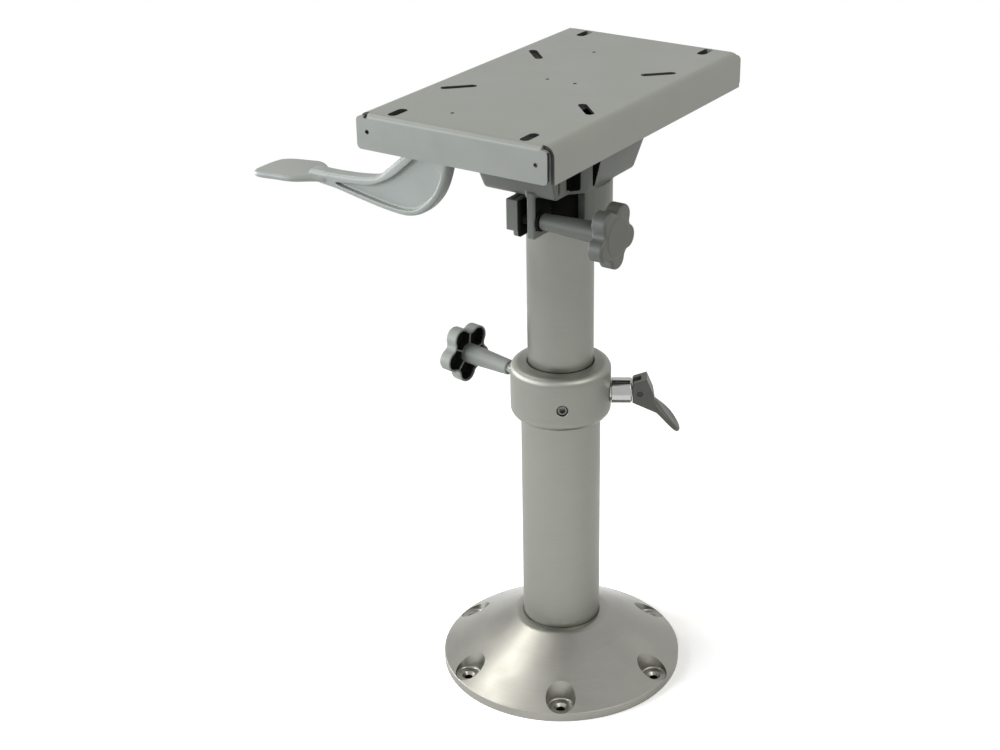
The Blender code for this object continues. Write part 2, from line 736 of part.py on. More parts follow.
def make_collar():
    """A turned collar over the outer tube's end, with a lip that keeps the bush in."""
    step_radius = OUTER_TUBE_RADIUS + COLLAR_BOTTOM_STEP
    foot_rounding = COLLAR_RADIUS - step_radius
    crown = (COLLAR_RADIUS - COLLAR_TOP_ROUNDING, COLLAR_TOP - COLLAR_TOP_ROUNDING)
    foot = (step_radius, COLLAR_BOTTOM + foot_rounding)
    lip = INNER_TUBE_RADIUS + COLLAR_MOUTH_GAP
    shelf = OUTER_TUBE_TOP + SEAT_GAP
    socket = OUTER_TUBE_RADIUS + SEAT_GAP
    profile = [(lip, COLLAR_TOP)]
    profile += arc(crown, COLLAR_TOP_ROUNDING, 90, 0, COLLAR_ROUNDING_STEPS)
    profile += arc(foot, foot_rounding, 0, -90, COLLAR_ROUNDING_STEPS)
    profile += [(socket, COLLAR_BOTTOM), (socket, shelf), (lip, shelf)]
    collar = turned("collar", profile, "satin_aluminium")
    holes = [
        radial_hole("collar_pin_hole", BARREL_NECK_RADIUS + SEAT_GAP, PIN_ANGLE, PIN_HEIGHT),
        radial_hole(
            "collar_knob_hole", KNOB_SCREW_RADIUS + SEAT_GAP, LOCK_KNOB_ANGLE, LOCK_KNOB_HEIGHT
        ),
    ]
    for i, angle in enumerate(SET_SCREW_ANGLES):
        radius = SET_SCREW_RADIUS + SEAT_GAP
        holes.append(radial_hole(f"collar_set_hole_{i}", radius, angle, SET_SCREW_HEIGHT))
    cut(collar, *holes)


def make_set_screws():
    """Socket set screws that hold the collar on the outer tube."""
    for name, angle in zip(("set_screw_front", "set_screw_back"), SET_SCREW_ANGLES):
        axis = pivot(f"{name}_axis", (0, 0, SET_SCREW_HEIGHT), (0, 0, angle))
        inner = OUTER_TUBE_RADIUS + SEAT_GAP
        outer = COLLAR_RADIUS - SET_SCREW_SINK
        screw = rod(
            name, SET_SCREW_RADIUS, inner, outer, "spring_steel", parent=axis, rotation=ALONG_X
        )
        socket = rod(
            f"{name}_socket",
            SET_SCREW_SOCKET_RADIUS,
            outer - SET_SCREW_SOCKET_DEPTH,
            outer + OVERRUN,
            steps=6,
            parent=axis,
            rotation=ALONG_X,
        )
        cut(screw, socket)


def make_inner_tube():
    ring(
        "inner_tube",
        INNER_TUBE_RADIUS - INNER_TUBE_WALL,
        INNER_TUBE_RADIUS,
        INNER_TUBE_BOTTOM,
        INNER_TUBE_TOP,
        "satin_aluminium",
        parent=HEIGHT_AXIS,
    )


def make_guide_foot():
    """A nylon plug in the inner tube's lower end, whose flange runs in the outer tube."""
    spigot = INNER_TUBE_RADIUS - INNER_TUBE_WALL - SEAT_GAP
    flange = OUTER_BORE - SEAT_GAP
    flange_top = INNER_TUBE_BOTTOM - SEAT_GAP
    turned(
        "guide_foot",
        [
            (GUIDE_FOOT_BORE, INNER_TUBE_BOTTOM + GUIDE_FOOT_SPIGOT),
            (spigot, INNER_TUBE_BOTTOM + GUIDE_FOOT_SPIGOT),
            (spigot, flange_top),
            (flange, flange_top),
            (flange, flange_top - GUIDE_FOOT_FLANGE),
            (GUIDE_FOOT_BORE, flange_top - GUIDE_FOOT_FLANGE),
        ],
        "white_nylon",
        steps=INNER_STEPS,
        parent=HEIGHT_AXIS,
    )


def make_swivel_bearing():
    """A black nylon sleeve round the tube's upper end and the disc that carries the head."""
    ring(
        "swivel_sleeve",
        INNER_TUBE_RADIUS + SEAT_GAP,
        SLEEVE_RADIUS,
        CLAMP_BOTTOM + RUNNING_GAP,
        INNER_TUBE_TOP,
        "black_nylon",
        parent=HEIGHT_AXIS,
    )
    ring(
        "thrust_disc",
        INNER_TUBE_RADIUS - 2 * INNER_TUBE_WALL,
        SLEEVE_RADIUS,
        THRUST_BOTTOM,
        THRUST_TOP,
        "white_nylon",
        steps=INNER_STEPS,
        parent=HEIGHT_AXIS,
    )


# Star knobs


def star_outline(inset=0.0):
    """Round lobes joined by smaller hollow arcs, both tangent to each other."""
    lobe_radius = KNOB_LOBE_RADIUS - inset
    valley_radius = KNOB_VALLEY_RADIUS + inset
    lobe_centre = KNOB_RADIUS - KNOB_LOBE_RADIUS
    half = math.pi / KNOB_LOBES
    rise = math.sqrt(
        (KNOB_LOBE_RADIUS + KNOB_VALLEY_RADIUS) ** 2 - (lobe_centre * math.sin(half)) ** 2
    )
    valley_centre = lobe_centre * math.cos(half) + rise
    towards_lobe = math.degrees(math.atan2(lobe_centre * math.sin(half), rise))
    points = []
    for i in range(KNOB_LOBES):
        turn = 360 * i / KNOB_LOBES
        lobe = math.radians(turn)
        centre = (lobe_centre * math.cos(lobe), lobe_centre * math.sin(lobe))
        meet = 180 / KNOB_LOBES + towards_lobe
        points += arc(centre, lobe_radius, turn - meet, turn + meet, 6)[:-1]
        valley = math.radians(turn) + half
        centre = (valley_centre * math.cos(valley), valley_centre * math.sin(valley))
        middle = math.degrees(valley) + 180
        points += arc(
            centre, valley_radius, middle + towards_lobe, middle - towards_lobe, 2
        )[:-1]
    return points


def star_rib(number):
    """The outline of the thin rib from the stem to one valley's wall."""
    turn = 2 * math.pi * (number + 0.5) / KNOB_LOBES
    reach = KNOB_RADIUS - KNOB_LOBE_RADIUS + BITE
    along, across = (math.cos(turn), math.sin(turn)), (-math.sin(turn), math.cos(turn))
    corners = [(KNOB_STEM_END, -1), (reach, -1), (reach, 1), (KNOB_STEM_END, 1)]
    return [
        tuple(far * along[k] + side * KNOB_RIB / 2 * across[k] for k in (0, 1))
        for far, side in corners
    ]


def make_star_knob(name, look, axis, stem_start, stem_length):
    """A moulded five-lobe knob on a tapered stem, hollow at its back, along local +X."""
    back = stem_start + stem_length
    front = back + KNOB_THICKNESS
    hollow_depth = KNOB_THICKNESS - KNOB_FACE
    sections = [
        (back + hollow_depth, KNOB_WALL),
        (back + KNOB_RIM_EDGE, KNOB_WALL),
        (back, KNOB_WALL - KNOB_RIM_EDGE),
        (back, KNOB_RIM_EDGE),
        (back + KNOB_RIM_EDGE, 0),
        (front - KNOB_EDGE, 0),
        (front, KNOB_EDGE),
    ]
    knob = lofted(
        name,
        [(height, star_outline(inset)) for height, inset in sections],
        look,
        parent=axis,
        rotation=ALONG_X,
    )
    ribs = plate(
        f"{name}_ribs",
        [star_rib(i) for i in range(KNOB_LOBES)],
        hollow_depth,
        parent=axis,
        rotation=ALONG_X,
        location=(back + hollow_depth / 2 + BITE, 0, 0),
    )
    stem = turned(
        f"{name}_stem",
        [
            (0, back + hollow_depth + BITE),
            (KNOB_STEM_ROOT, back + hollow_depth + BITE),
            (KNOB_STEM_ROOT, back - KNOB_STEM_SHANK),
            (KNOB_STEM_END, stem_start + KNOB_STEM_CHAMFER),
            (KNOB_STEM_END - KNOB_STEM_CHAMFER, stem_start),
            (0, stem_start),
        ],
        steps=SMALL_STEPS,
        closed=False,
        parent=axis,
        rotation=ALONG_X,
    )
    screw_hole = rod(
        f"{name}_screw_hole",
        KNOB_SCREW_RADIUS + SEAT_GAP,
        stem_start - OVERRUN,
        stem_start + KNOB_SCREW_GRIP + SEAT_GAP,
        parent=axis,
        rotation=ALONG_X,
    )
    join(knob, ribs, stem)
    cut(knob, screw_hole)


def make_lock_knob():
    """The screw through the collar that presses a nylon pad on the inner tube."""
    axis = pivot("lock_knob_axis", (0, 0, LOCK_KNOB_HEIGHT), (0, 0, LOCK_KNOB_ANGLE))
    pad_start = INNER_TUBE_RADIUS + SEAT_GAP
    pad_end = pad_start + LOCK_PAD_LENGTH
    rod(
        "lock_pad",
        KNOB_SCREW_RADIUS - SEAT_GAP,
        pad_start,
        pad_end,
        "white_nylon",
        parent=axis,
        rotation=ALONG_X,
    )
    rod(
        "lock_screw",
        KNOB_SCREW_RADIUS,
        pad_end + SEAT_GAP,
        LOCK_KNOB_STEM_START + KNOB_SCREW_GRIP,
        "zinc_steel",
        parent=axis,
        rotation=ALONG_X,
    )
    turn = pivot("lock_knob_turn", rotation=(LOCK_KNOB_TURN, 0, 0), parent=axis)
    make_star_knob(
        "lock_knob", "grey_plastic", turn, LOCK_KNOB_STEM_START, LOCK_KNOB_STEM_LENGTH
    )


# Lock pin and cam lever


def make_barrel(axis):
    """A chromed barrel screwed into the collar, bored for the pin and its spring."""
    shoulder = COLLAR_RADIUS + SEAT_GAP
    bore = PIN_NOSE_RADIUS + SEAT_GAP
    throat = PIN_STEM_RADIUS + SEAT_GAP
    turned(
        "lock_barrel",
        [
            (throat, BARREL_END),
            (BARREL_RADIUS - BARREL_CHAMFER, BARREL_END),
            (BARREL_RADIUS, BARREL_END - BARREL_CHAMFER),
            (BARREL_RADIUS, shoulder),
            (BARREL_NECK_RADIUS, shoulder),
            (BARREL_NECK_RADIUS, BARREL_NECK_START),
            (bore, BARREL_NECK_START),
            (bore, BARREL_END - BARREL_END_WALL),
            (throat, BARREL_END - BARREL_END_WALL),
        ],
        "chrome",
        steps=32,
        parent=axis,
        rotation=ALONG_X,
    )


def make_lock_spring(axis):
    """The pin's spring, drawn at the length it has when the pin is pulled."""
    wire = LOCK_SPRING_WIRE / 2
    radius = PIN_STEM_RADIUS + SEAT_GAP + wire
    start = LOCK_SPRING_START + wire
    points = coil(radius, LOCK_SPRING_PITCH, LOCK_SPRING_TURNS, start)
    bar("lock_spring", points, wire, "spring_steel", parent=axis)


def make_lock_pin(axis):
    """The pin: a nose that meets the tube, a thinner stem and a flat tongue for the lever."""
    nose = INNER_TUBE_RADIUS + RUNNING_GAP
    stem_end = BARREL_END + RUNNING_GAP
    pin = turned(
        "lock_pin",
        [
            (0, stem_end + 2 * BITE),
            (PIN_STEM_RADIUS, stem_end + 2 * BITE),
            (PIN_STEM_RADIUS, PIN_SHOULDER),
            (PIN_NOSE_RADIUS, PIN_SHOULDER),
            (PIN_NOSE_RADIUS, nose + PIN_NOSE_CHAMFER),
            (PIN_NOSE_RADIUS - PIN_NOSE_CHAMFER, nose),
            (0, nose),
        ],
        "zinc_steel",
        steps=SMALL_STEPS,
        closed=False,
        parent=axis,
        rotation=ALONG_X,
    )
    tongue = box(
        "lock_pin_tongue",
        (stem_end, -TONGUE_WIDTH / 2, -TONGUE_HEIGHT / 2),
        (CAM_PIVOT + TONGUE_LENGTH, TONGUE_WIDTH / 2, TONGUE_HEIGHT / 2),
        parent=axis,
    )
    eye = rod(
        "lock_pin_eye",
        CAM_PIVOT_RADIUS + SEAT_GAP,
        -TONGUE_WIDTH,
        TONGUE_WIDTH,
        steps=16,
        parent=axis,
        rotation=ALONG_Y,
        location=(CAM_PIVOT, 0, 0),
    )
    join(pin, tongue)
    cut(pin, eye)


def make_cam_lever(axis):
    """The forked cam head and its spoon handle, which turn about the pin's tongue."""
    pivot_axis = pivot("cam_lever_axis", (CAM_PIVOT, 0, 0), parent=axis)
    face = BARREL_END + RUNNING_GAP - CAM_PIVOT
    top = CAM_HEAD_HEIGHT
    corner = (face + CAM_CORNER_RADIUS, top - CAM_CORNER_RADIUS)
    head_outline = [
        (face, -CAM_HEAD_DROP),
        CAM_CHIN,
        (CAM_HEAD_BACK, 0),
        (CAM_HEAD_BACK / 2, top + CAM_HEAD_SLOPE),
    ]
    head_outline += arc(corner, CAM_CORNER_RADIUS, 105, 180, 3)
    lever = plate(
        "cam_lever", [head_outline], CAM_WIDTH, "dark_casting", parent=pivot_axis, rotation=FACING_Y
    )
    round_edges(lever, CAM_EDGE, segments=1)
    lower = [(along, -half) for along, half in HANDLE_OUTLINE]
    blade_outline = smooth_outline([*lower, (HANDLE_TIP, 0), *reversed(HANDLE_OUTLINE)], OUTLINE_STEPS)
    blade = plate(
        "cam_lever_handle",
        [blade_outline],
        HANDLE_THICKNESS,
        parent=pivot_axis,
        rotation=(0, HANDLE_ANGLE, 0),
        location=(HANDLE_ROOT[0], 0, HANDLE_ROOT[1]),
    )
    round_edges(blade, HANDLE_EDGE)
    slot_half = TONGUE_WIDTH / 2 + RUNNING_GAP
    slot = box(
        "cam_lever_slot",
        (face - OVERRUN, -slot_half, -CAM_HEAD_DROP - OVERRUN),
        (BITE, slot_half, top + CAM_HEAD_SLOPE + OVERRUN),
        parent=pivot_axis,
    )
    room = rod(
        "cam_lever_room",
        CAM_SLOT_ROOM,
        -slot_half,
        slot_half,
        parent=pivot_axis,
        rotation=ALONG_Y,
    )
    eye = rod(
        "cam_lever_eye",
        CAM_PIVOT_RADIUS + SEAT_GAP,
        -CAM_WIDTH,
        CAM_WIDTH,
        steps=16,
        parent=pivot_axis,
        rotation=ALONG_Y,
    )
    join(lever, blade)
    cut(lever, slot, room, eye)
    half = CAM_WIDTH / 2 - SEAT_GAP
    rod(
        "cam_pivot_pin",
        CAM_PIVOT_RADIUS,
        -half,
        half,
        "zinc_steel",
        steps=16,
        parent=pivot_axis,
        rotation=ALONG_Y,
    )


# Head casting


def make_head_box():
    """The casting's tapered box, hollow from above except round its hub and screw bosses."""
    half_x, half_y = HEAD_BOTTOM_HALF
    head = tapered_box(
        "head_casting",
        (-half_x, -half_y, HEAD_BOTTOM),
        (half_x, half_y, HEAD_TOP),
        HEAD_TAPER,
        "painted_casting",
        parent=SWIVEL_AXIS,
    )
    round_edges(head, HEAD_EDGE)
    floor = HEAD_BOTTOM + HEAD_FLOOR
    rise = (floor - HEAD_BOTTOM) / (HEAD_TOP - HEAD_BOTTOM) * HEAD_TAPER
    cavity = tapered_box(
        "head_cavity",
        (-half_x - rise + HEAD_WALL, -half_y - rise + HEAD_WALL, floor),
        (half_x + rise - HEAD_WALL, half_y + rise - HEAD_WALL, HEAD_TOP + 2 * BITE),
        HEAD_TAPER - rise,
        parent=SWIVEL_AXIS,
    )
    kept = [
        rod(
            "head_hub",
            CLAMP_HUB_RADIUS,
            floor - OVERRUN,
            HEAD_TOP + OVERRUN,
            steps=ROUND_STEPS,
            parent=SWIVEL_AXIS,
        ),
        box(
            "head_corner_mass",
            (RELIEF_START - RELIEF_POCKET_DEPTH - HEAD_WALL, -HEAD_FAR, floor - OVERRUN),
            (HEAD_FAR, -RELIEF_BACK + HEAD_WALL, HEAD_TOP + OVERRUN),
            parent=SWIVEL_AXIS,
        ),
    ]
    for i, (side, end) in enumerate(((-1, -1), (1, -1), (-1, 1), (1, 1))):
        kept.append(
            rod(
                f"head_boss_{i}",
                SLIDE_BOSS_RADIUS,
                floor - OVERRUN,
                HEAD_TOP + OVERRUN,
                parent=SWIVEL_AXIS,
                location=(side * SLIDE_SCREW_PLACE[0], end * SLIDE_SCREW_PLACE[1], 0),
            )
        )
    cut(cavity, *kept)
    cut(head, cavity)
    return head


def make_head_relief(head):
    """The corner cut back to the hub beside the clamp knob, with pockets between ribs."""
    relief = box(
        "head_relief",
        (RELIEF_START, -HEAD_FAR, HEAD_BOTTOM - OVERRUN),
        (HEAD_FAR, -RELIEF_BACK, HEAD_TOP - RELIEF_ROOF),
        parent=SWIVEL_AXIS,
    )
    hub = rod(
        "head_relief_hub",
        CLAMP_HUB_RADIUS + RELIEF_STEP,
        HEAD_BOTTOM - 2 * OVERRUN,
        HEAD_TOP + OVERRUN,
        steps=ROUND_STEPS,
        parent=SWIVEL_AXIS,
    )
    cut(relief, hub)
    cut(head, relief)
    wall = rod(
        "head_pocket_wall",
        HEAD_BORE + RELIEF_POCKET_WALL,
        HEAD_BOTTOM - 2 * OVERRUN,
        HEAD_TOP + OVERRUN,
        steps=ROUND_STEPS,
        parent=SWIVEL_AXIS,
    )
    for i, (front, back) in enumerate(RELIEF_POCKETS):
        pocket = box(
            f"head_pocket_{i}",
            (RELIEF_START - RELIEF_POCKET_DEPTH, front, HEAD_BOTTOM + RELIEF_POCKET_FLOOR),
            (HEAD_FAR, back, HEAD_TOP - RELIEF_ROOF),
            parent=SWIVEL_AXIS,
        )
        cut(pocket, wall)
        cut(head, pocket)


def make_clamp(head):
    """The split clamp below the box: a thick hub behind, a thin band in front, two ears."""
    start = math.degrees(CLAMP_HUB_START)
    end = math.degrees(CLAMP_HUB_END)
    hub_top = HEAD_BOTTOM + 2 * BITE
    middle = (CLAMP_BOTTOM + hub_top) / 2
    reach = 2 * CLAMP_HUB_RADIUS
    sector = rod(
        "clamp_sector",
        CLAMP_HUB_RADIUS,
        CLAMP_BOTTOM,
        hub_top,
        steps=ROUND_STEPS,
        parent=SWIVEL_AXIS,
    )
    open_side = plate(
        "clamp_open_side",
        [wedge(end, start + 360, reach)],
        2 * CLAMP_DROP,
        parent=SWIVEL_AXIS,
        location=(0, 0, middle),
    )
    cut(sector, open_side)
    band = rod(
        "clamp_band",
        HEAD_BORE + CLAMP_BAND_WALL,
        CLAMP_BOTTOM,
        BAND_TOP,
        steps=ROUND_STEPS,
        parent=SWIVEL_AXIS,
    )
    window_root = (EAR_OUTER, EAR_OUTER * math.tan(CLAMP_HUB_START))
    window_far = (reach * math.cos(CLAMP_HUB_START), reach * math.sin(CLAMP_HUB_START))
    window = plate(
        "clamp_window",
        [[window_root, (EAR_OUTER, -reach), (reach, -reach), window_far]],
        2 * CLAMP_DROP,
        parent=SWIVEL_AXIS,
        location=(0, 0, middle),
    )
    cut(band, window)
    sill = rod(
        "clamp_sill",
        HEAD_BORE + CLAMP_SILL_WALL,
        CLAMP_BOTTOM,
        CLAMP_BOTTOM + CLAMP_WINDOW_SILL,
        steps=ROUND_STEPS,
        parent=SWIVEL_AXIS,
    )
    right_ear = box(
        "clamp_right_ear",
        (EAR_INNER - 2 * BITE, -EAR_FRONT, CLAMP_BOTTOM),
        (EAR_OUTER, -HEAD_BORE + 2 * BITE, HEAD_BOTTOM + HEAD_FLOOR - BITE),
        parent=SWIVEL_AXIS,
    )
    left_ear = box(
        "clamp_left_ear",
        (-EAR_OUTER, -EAR_FRONT, CLAMP_BOTTOM),
        (-EAR_INNER + 2 * BITE, -HEAD_BORE + 2 * BITE, BAND_TOP),
        parent=SWIVEL_AXIS,
    )
    round_edges(right_ear, EAR_EDGE, segments=1)
    round_edges(left_ear, EAR_EDGE, segments=1)
    bore = rod(
        "clamp_bore",
        HEAD_BORE,
        CLAMP_BOTTOM - OVERRUN,
        HEAD_TOP - HEAD_BORE_TOP_WALL,
        steps=ROUND_STEPS,
        parent=SWIVEL_AXIS,
    )
    slit = box(
        "clamp_slit",
        (-EAR_INNER, -EAR_FRONT - OVERRUN, CLAMP_BOTTOM - OVERRUN),
        (EAR_INNER, -HEAD_BORE + 5 * BITE, HEAD_BOTTOM),
        parent=SWIVEL_AXIS,
    )
    bolt_hole = rod(
        "clamp_bolt_hole",
        KNOB_SCREW_RADIUS + RUNNING_GAP,
        -EAR_OUTER - OVERRUN,
        EAR_OUTER + OVERRUN,
        parent=SWIVEL_AXIS,
        rotation=ALONG_X,
        location=(0, -CLAMP_BOLT_REACH, CLAMP_BOLT_HEIGHT),
    )
    join(head, sector, band, sill, right_ear, left_ear)
    cut(head, bore, slit, bolt_hole)


def make_head():
    head = make_head_box()
    make_head_relief(head)
    make_clamp(head)
    for i, (side, end) in enumerate(((-1, -1), (1, -1), (-1, 1), (1, 1))):
        hole = rod(
            f"head_screw_hole_{i}",
            SLIDE_SCREW_RADIUS + SEAT_GAP,
            SLIDE_BASE_TOP - SLIDE_SCREW_LENGTH - BITE,
            HEAD_TOP + OVERRUN,
            steps=SCREW_STEPS,
            parent=SWIVEL_AXIS,
            location=(side * SLIDE_SCREW_PLACE[0], end * SLIDE_SCREW_PLACE[1], 0),
        )
        sink = turned(
            f"head_screw_sink_{i}",
            screw_head_profile(SEAT_GAP, OVERRUN),
            steps=SCREW_STEPS,
            closed=False,
            parent=SWIVEL_AXIS,
            location=(side * SLIDE_SCREW_PLACE[0], end * SLIDE_SCREW_PLACE[1], 0),
        )
        cut(head, hole, sink)


def make_clamp_screw():
    """The bolt, nut, washer and star knob that close the clamp, along +X."""
    axis = pivot(
        "clamp_knob_axis", (0, -CLAMP_BOLT_REACH, CLAMP_BOLT_HEIGHT), parent=SWIVEL_AXIS
    )
    nut_inner = -EAR_OUTER - SEAT_GAP
    nut_outer = nut_inner - CLAMP_NUT_THICKNESS
    reach = EAR_FRONT - CLAMP_BOLT_REACH
    nut = box(
        "clamp_nut",
        (nut_outer, -reach, -CLAMP_NUT_DROP),
        (nut_inner, -reach + CLAMP_NUT_WIDTH, CLAMP_NUT_HEIGHT - CLAMP_NUT_DROP),
        "painted_casting",
        parent=axis,
    )
    round_edges(nut, EAR_EDGE / 2, segments=1)
    nut_hole = rod(
        "clamp_nut_hole",
        KNOB_SCREW_RADIUS + SEAT_GAP,
        nut_outer - OVERRUN,
        nut_inner + OVERRUN,
        parent=axis,
        rotation=ALONG_X,
    )
    cut(nut, nut_hole)
    washer_start = EAR_OUTER + SEAT_GAP
    washer_end = washer_start + CLAMP_WASHER_THICKNESS
    ring(
        "clamp_washer",
        KNOB_SCREW_RADIUS + SEAT_GAP,
        CLAMP_WASHER_RADIUS,
        washer_start,
        washer_end,
        "zinc_steel",
        steps=SMALL_STEPS,
        parent=axis,
        rotation=ALONG_X,
    )
    stem_start = washer_end + SEAT_GAP
    rod(
        "clamp_bolt",
        KNOB_SCREW_RADIUS,
        nut_outer - BITE,
        stem_start + KNOB_SCREW_GRIP,
        "zinc_steel",
        parent=axis,
        rotation=ALONG_X,
    )
    turn = pivot("clamp_knob_turn", rotation=(CLAMP_KNOB_TURN, 0, 0), parent=axis)
    make_star_knob("clamp_knob", "dark_plastic", turn, stem_start, CLAMP_KNOB_STEM_LENGTH)


# Slide


def screw_head_profile(gap, above):
    """The countersink of a slide screw, from the plate's face down to its shank."""
    top = SLIDE_BASE_TOP - SEAT_GAP
    head = SLIDE_SCREW_HEAD_RADIUS + gap
    shank = SLIDE_SCREW_RADIUS + gap
    return [
        (0, top + above),
        (head, top + above),
        (head, top - gap),
        (shank, top - SLIDE_SCREW_HEAD_HEIGHT - gap),
        (0, top - SLIDE_SCREW_HEAD_HEIGHT - gap),
    ]


def make_slide_base():
    """The flat plate bolted on the casting, which carries the lower rails."""
    half_x, half_y = SLIDE_BASE_HALF
    base = box(
        "slide_base_plate",
        (-half_x, -half_y, SLIDE_BASE_BOTTOM),
        (half_x, half_y, SLIDE_BASE_TOP),
        "zinc_steel",
        parent=SWIVEL_AXIS,
    )
    names = ("front_left", "front_right", "back_left", "back_right")
    for name, side, end in zip(names, (-1, 1, -1, 1), (-1, -1, 1, 1)):
        at = (side * SLIDE_SCREW_PLACE[0], end * SLIDE_SCREW_PLACE[1], 0)
        sink = turned(
            f"slide_base_sink_{name}",
            screw_head_profile(SEAT_GAP, OVERRUN),
            steps=SCREW_STEPS,
            closed=False,
            parent=SWIVEL_AXIS,
            location=at,
        )
        hole = rod(
            f"slide_base_hole_{name}",
            SLIDE_SCREW_RADIUS + SEAT_GAP,
            SLIDE_BASE_BOTTOM - OVERRUN,
            SLIDE_BASE_TOP + OVERRUN,
            steps=SCREW_STEPS,
            parent=SWIVEL_AXIS,
            location=at,
        )
        cut(base, sink, hole)
        profile = screw_head_profile(0, 0)[:-1]
        tip = SLIDE_BASE_TOP - SLIDE_SCREW_LENGTH
        turned(
            f"slide_screw_{name}",
            [*profile, (SLIDE_SCREW_RADIUS, tip), (0, tip)],
            "zinc_steel",
            steps=SCREW_STEPS,
            closed=False,
            parent=SWIVEL_AXIS,
            location=at,
        )


def channel_outline(centre):
    """The lower rail's section: a box open along the middle of its top."""
    half = LOWER_RAIL_WIDTH / 2
    mouth = LOWER_RAIL_MOUTH / 2
    wall = LOWER_RAIL_WALL
    low = RAIL_BOTTOM
    high = RAIL_BOTTOM + LOWER_RAIL_HEIGHT
    right = [
        (half, low),
        (half, high),
        (mouth, high),
        (mouth, high - wall),
        (half - wall, high - wall),
        (half - wall, low + wall),
    ]
    left = [(-x, z) for x, z in reversed(right)]
    return [(centre + x, z) for x, z in right + left]


def tee_outline(centre):
    """The upper rail's section: a flange under the seat plate, a web and a captive foot."""
    flange = UPPER_RAIL_WIDTH / 2
    foot = UPPER_RAIL_FOOT / 2
    web = UPPER_RAIL_WALL / 2
    top = PLATE_UNDERSIDE - SEAT_GAP
    foot_low = RAIL_BOTTOM + UPPER_RAIL_FOOT_HEIGHT
    foot_high = foot_low + UPPER_RAIL_WALL
    right = [
        (foot, foot_low),
        (foot, foot_high),
        (web, foot_high),
        (web, top - UPPER_RAIL_WALL),
        (flange, top - UPPER_RAIL_WALL),
        (flange, top),
    ]
    left = [(-x, z) for x, z in reversed(right)]
    return [(centre + x, z) for x, z in right + left]


def glide_outline(centre):
    """A nylon block in the lower rail with a slot for the upper rail's foot and web."""
    half = LOWER_RAIL_WIDTH / 2 - LOWER_RAIL_WALL - SEAT_GAP
    foot = UPPER_RAIL_FOOT / 2 + SEAT_GAP
    web = UPPER_RAIL_WALL / 2 + SEAT_GAP
    low = RAIL_BOTTOM + LOWER_RAIL_WALL + SEAT_GAP
    high = RAIL_BOTTOM + LOWER_RAIL_HEIGHT - LOWER_RAIL_WALL - SEAT_GAP
    foot_low = RAIL_BOTTOM + UPPER_RAIL_FOOT_HEIGHT - SEAT_GAP
    foot_high = foot_low + UPPER_RAIL_WALL + 2 * SEAT_GAP
    right = [
        (half, low),
        (half, high),
        (web, high),
        (web, foot_high),
        (foot, foot_high),
        (foot, foot_low),
    ]
    left = [(-x, z) for x, z in reversed(right)]
    return [(centre + x, z) for x, z in right + left]


def section(name, outline, low_y, high_y, look=None, parent=None):
    """A bar of one section along Y."""
    return plate(
        name,
        [outline],
        high_y - low_y,
        look,
        parent=parent,
        rotation=FACING_Y,
        location=(0, (low_y + high_y) / 2, 0),
    )


def make_rails():
    half = SLIDE_BASE_HALF[1]
    for side, place in (("left", -RAIL_PLACE), ("right", RAIL_PLACE)):
        section(
            f"lower_rail_{side}", channel_outline(place), -half, half, "zinc_steel", SWIVEL_AXIS
        )
        section(
            f"upper_rail_{side}",
            tee_outline(place),
            -UPPER_RAIL_END,
            UPPER_RAIL_END,
            "zinc_steel",
            SLIDE_AXIS,
        )
        for end, near in (("front", -half), ("back", half - GLIDE_LENGTH)):
            outline = glide_outline(place)
            far = near + GLIDE_LENGTH
            section(f"glide_{side}_{end}", outline, near, far, "white_nylon", SWIVEL_AXIS)


def make_latch_rack():
    """A bridge over the slide's middle with a row of windows for the pawl's teeth."""
    half = SLIDE_BASE_HALF[1]
    top = RAIL_BOTTOM + RACK_HEIGHT
    outer = [(-half, RAIL_BOTTOM), (-half, top), (half, top), (half, RAIL_BOTTOM)]
    edge = half - RACK_THICKNESS
    under = top - RACK_THICKNESS
    inner = [(edge, RAIL_BOTTOM), (edge, under), (-edge, under), (-edge, RAIL_BOTTOM)]
    rack = plate(
        "latch_rack",
        [outer + inner],
        RACK_WIDTH,
        "zinc_steel",
        parent=SWIVEL_AXIS,
        rotation=FACING_X,
        location=(RACK_PLACE, 0, 0),
    )
    count = round(SLIDE_TRAVEL / RACK_PITCH)
    windows = [
        rectangle(
            (-RACK_WINDOW[0] / 2, i * RACK_PITCH - RACK_WINDOW[1] / 2),
            (RACK_WINDOW[0] / 2, i * RACK_PITCH + RACK_WINDOW[1] / 2),
        )
        for i in range(-count, count + 1)
    ]
    cutter = plate(
        "latch_rack_windows",
        windows,
        4 * RACK_THICKNESS,
        parent=SWIVEL_AXIS,
        location=(RACK_PLACE, 0, top),
    )
    cut(rack, cutter)


# Seat plate


def channel_shell():
    """The section of the long folded sheet, its two long sides bent down."""
    half = PLATE_SIDE
    bend = (half - PLATE_BEND, PLATE_TOP - PLATE_BEND)
    outer = [(half, PLATE_FLANGE_BOTTOM)] + arc(bend, PLATE_BEND, 0, 90, BEND_STEPS)
    inner = arc(bend, PLATE_BEND - PLATE_SHEET, 90, 0, BEND_STEPS)
    inner.append((half - PLATE_SHEET, PLATE_FLANGE_BOTTOM))
    right_outer = outer
    left_outer = [(-x, z) for x, z in reversed(outer)]
    left_inner = [(-x, z) for x, z in reversed(inner)]
    return right_outer + left_outer + left_inner + inner


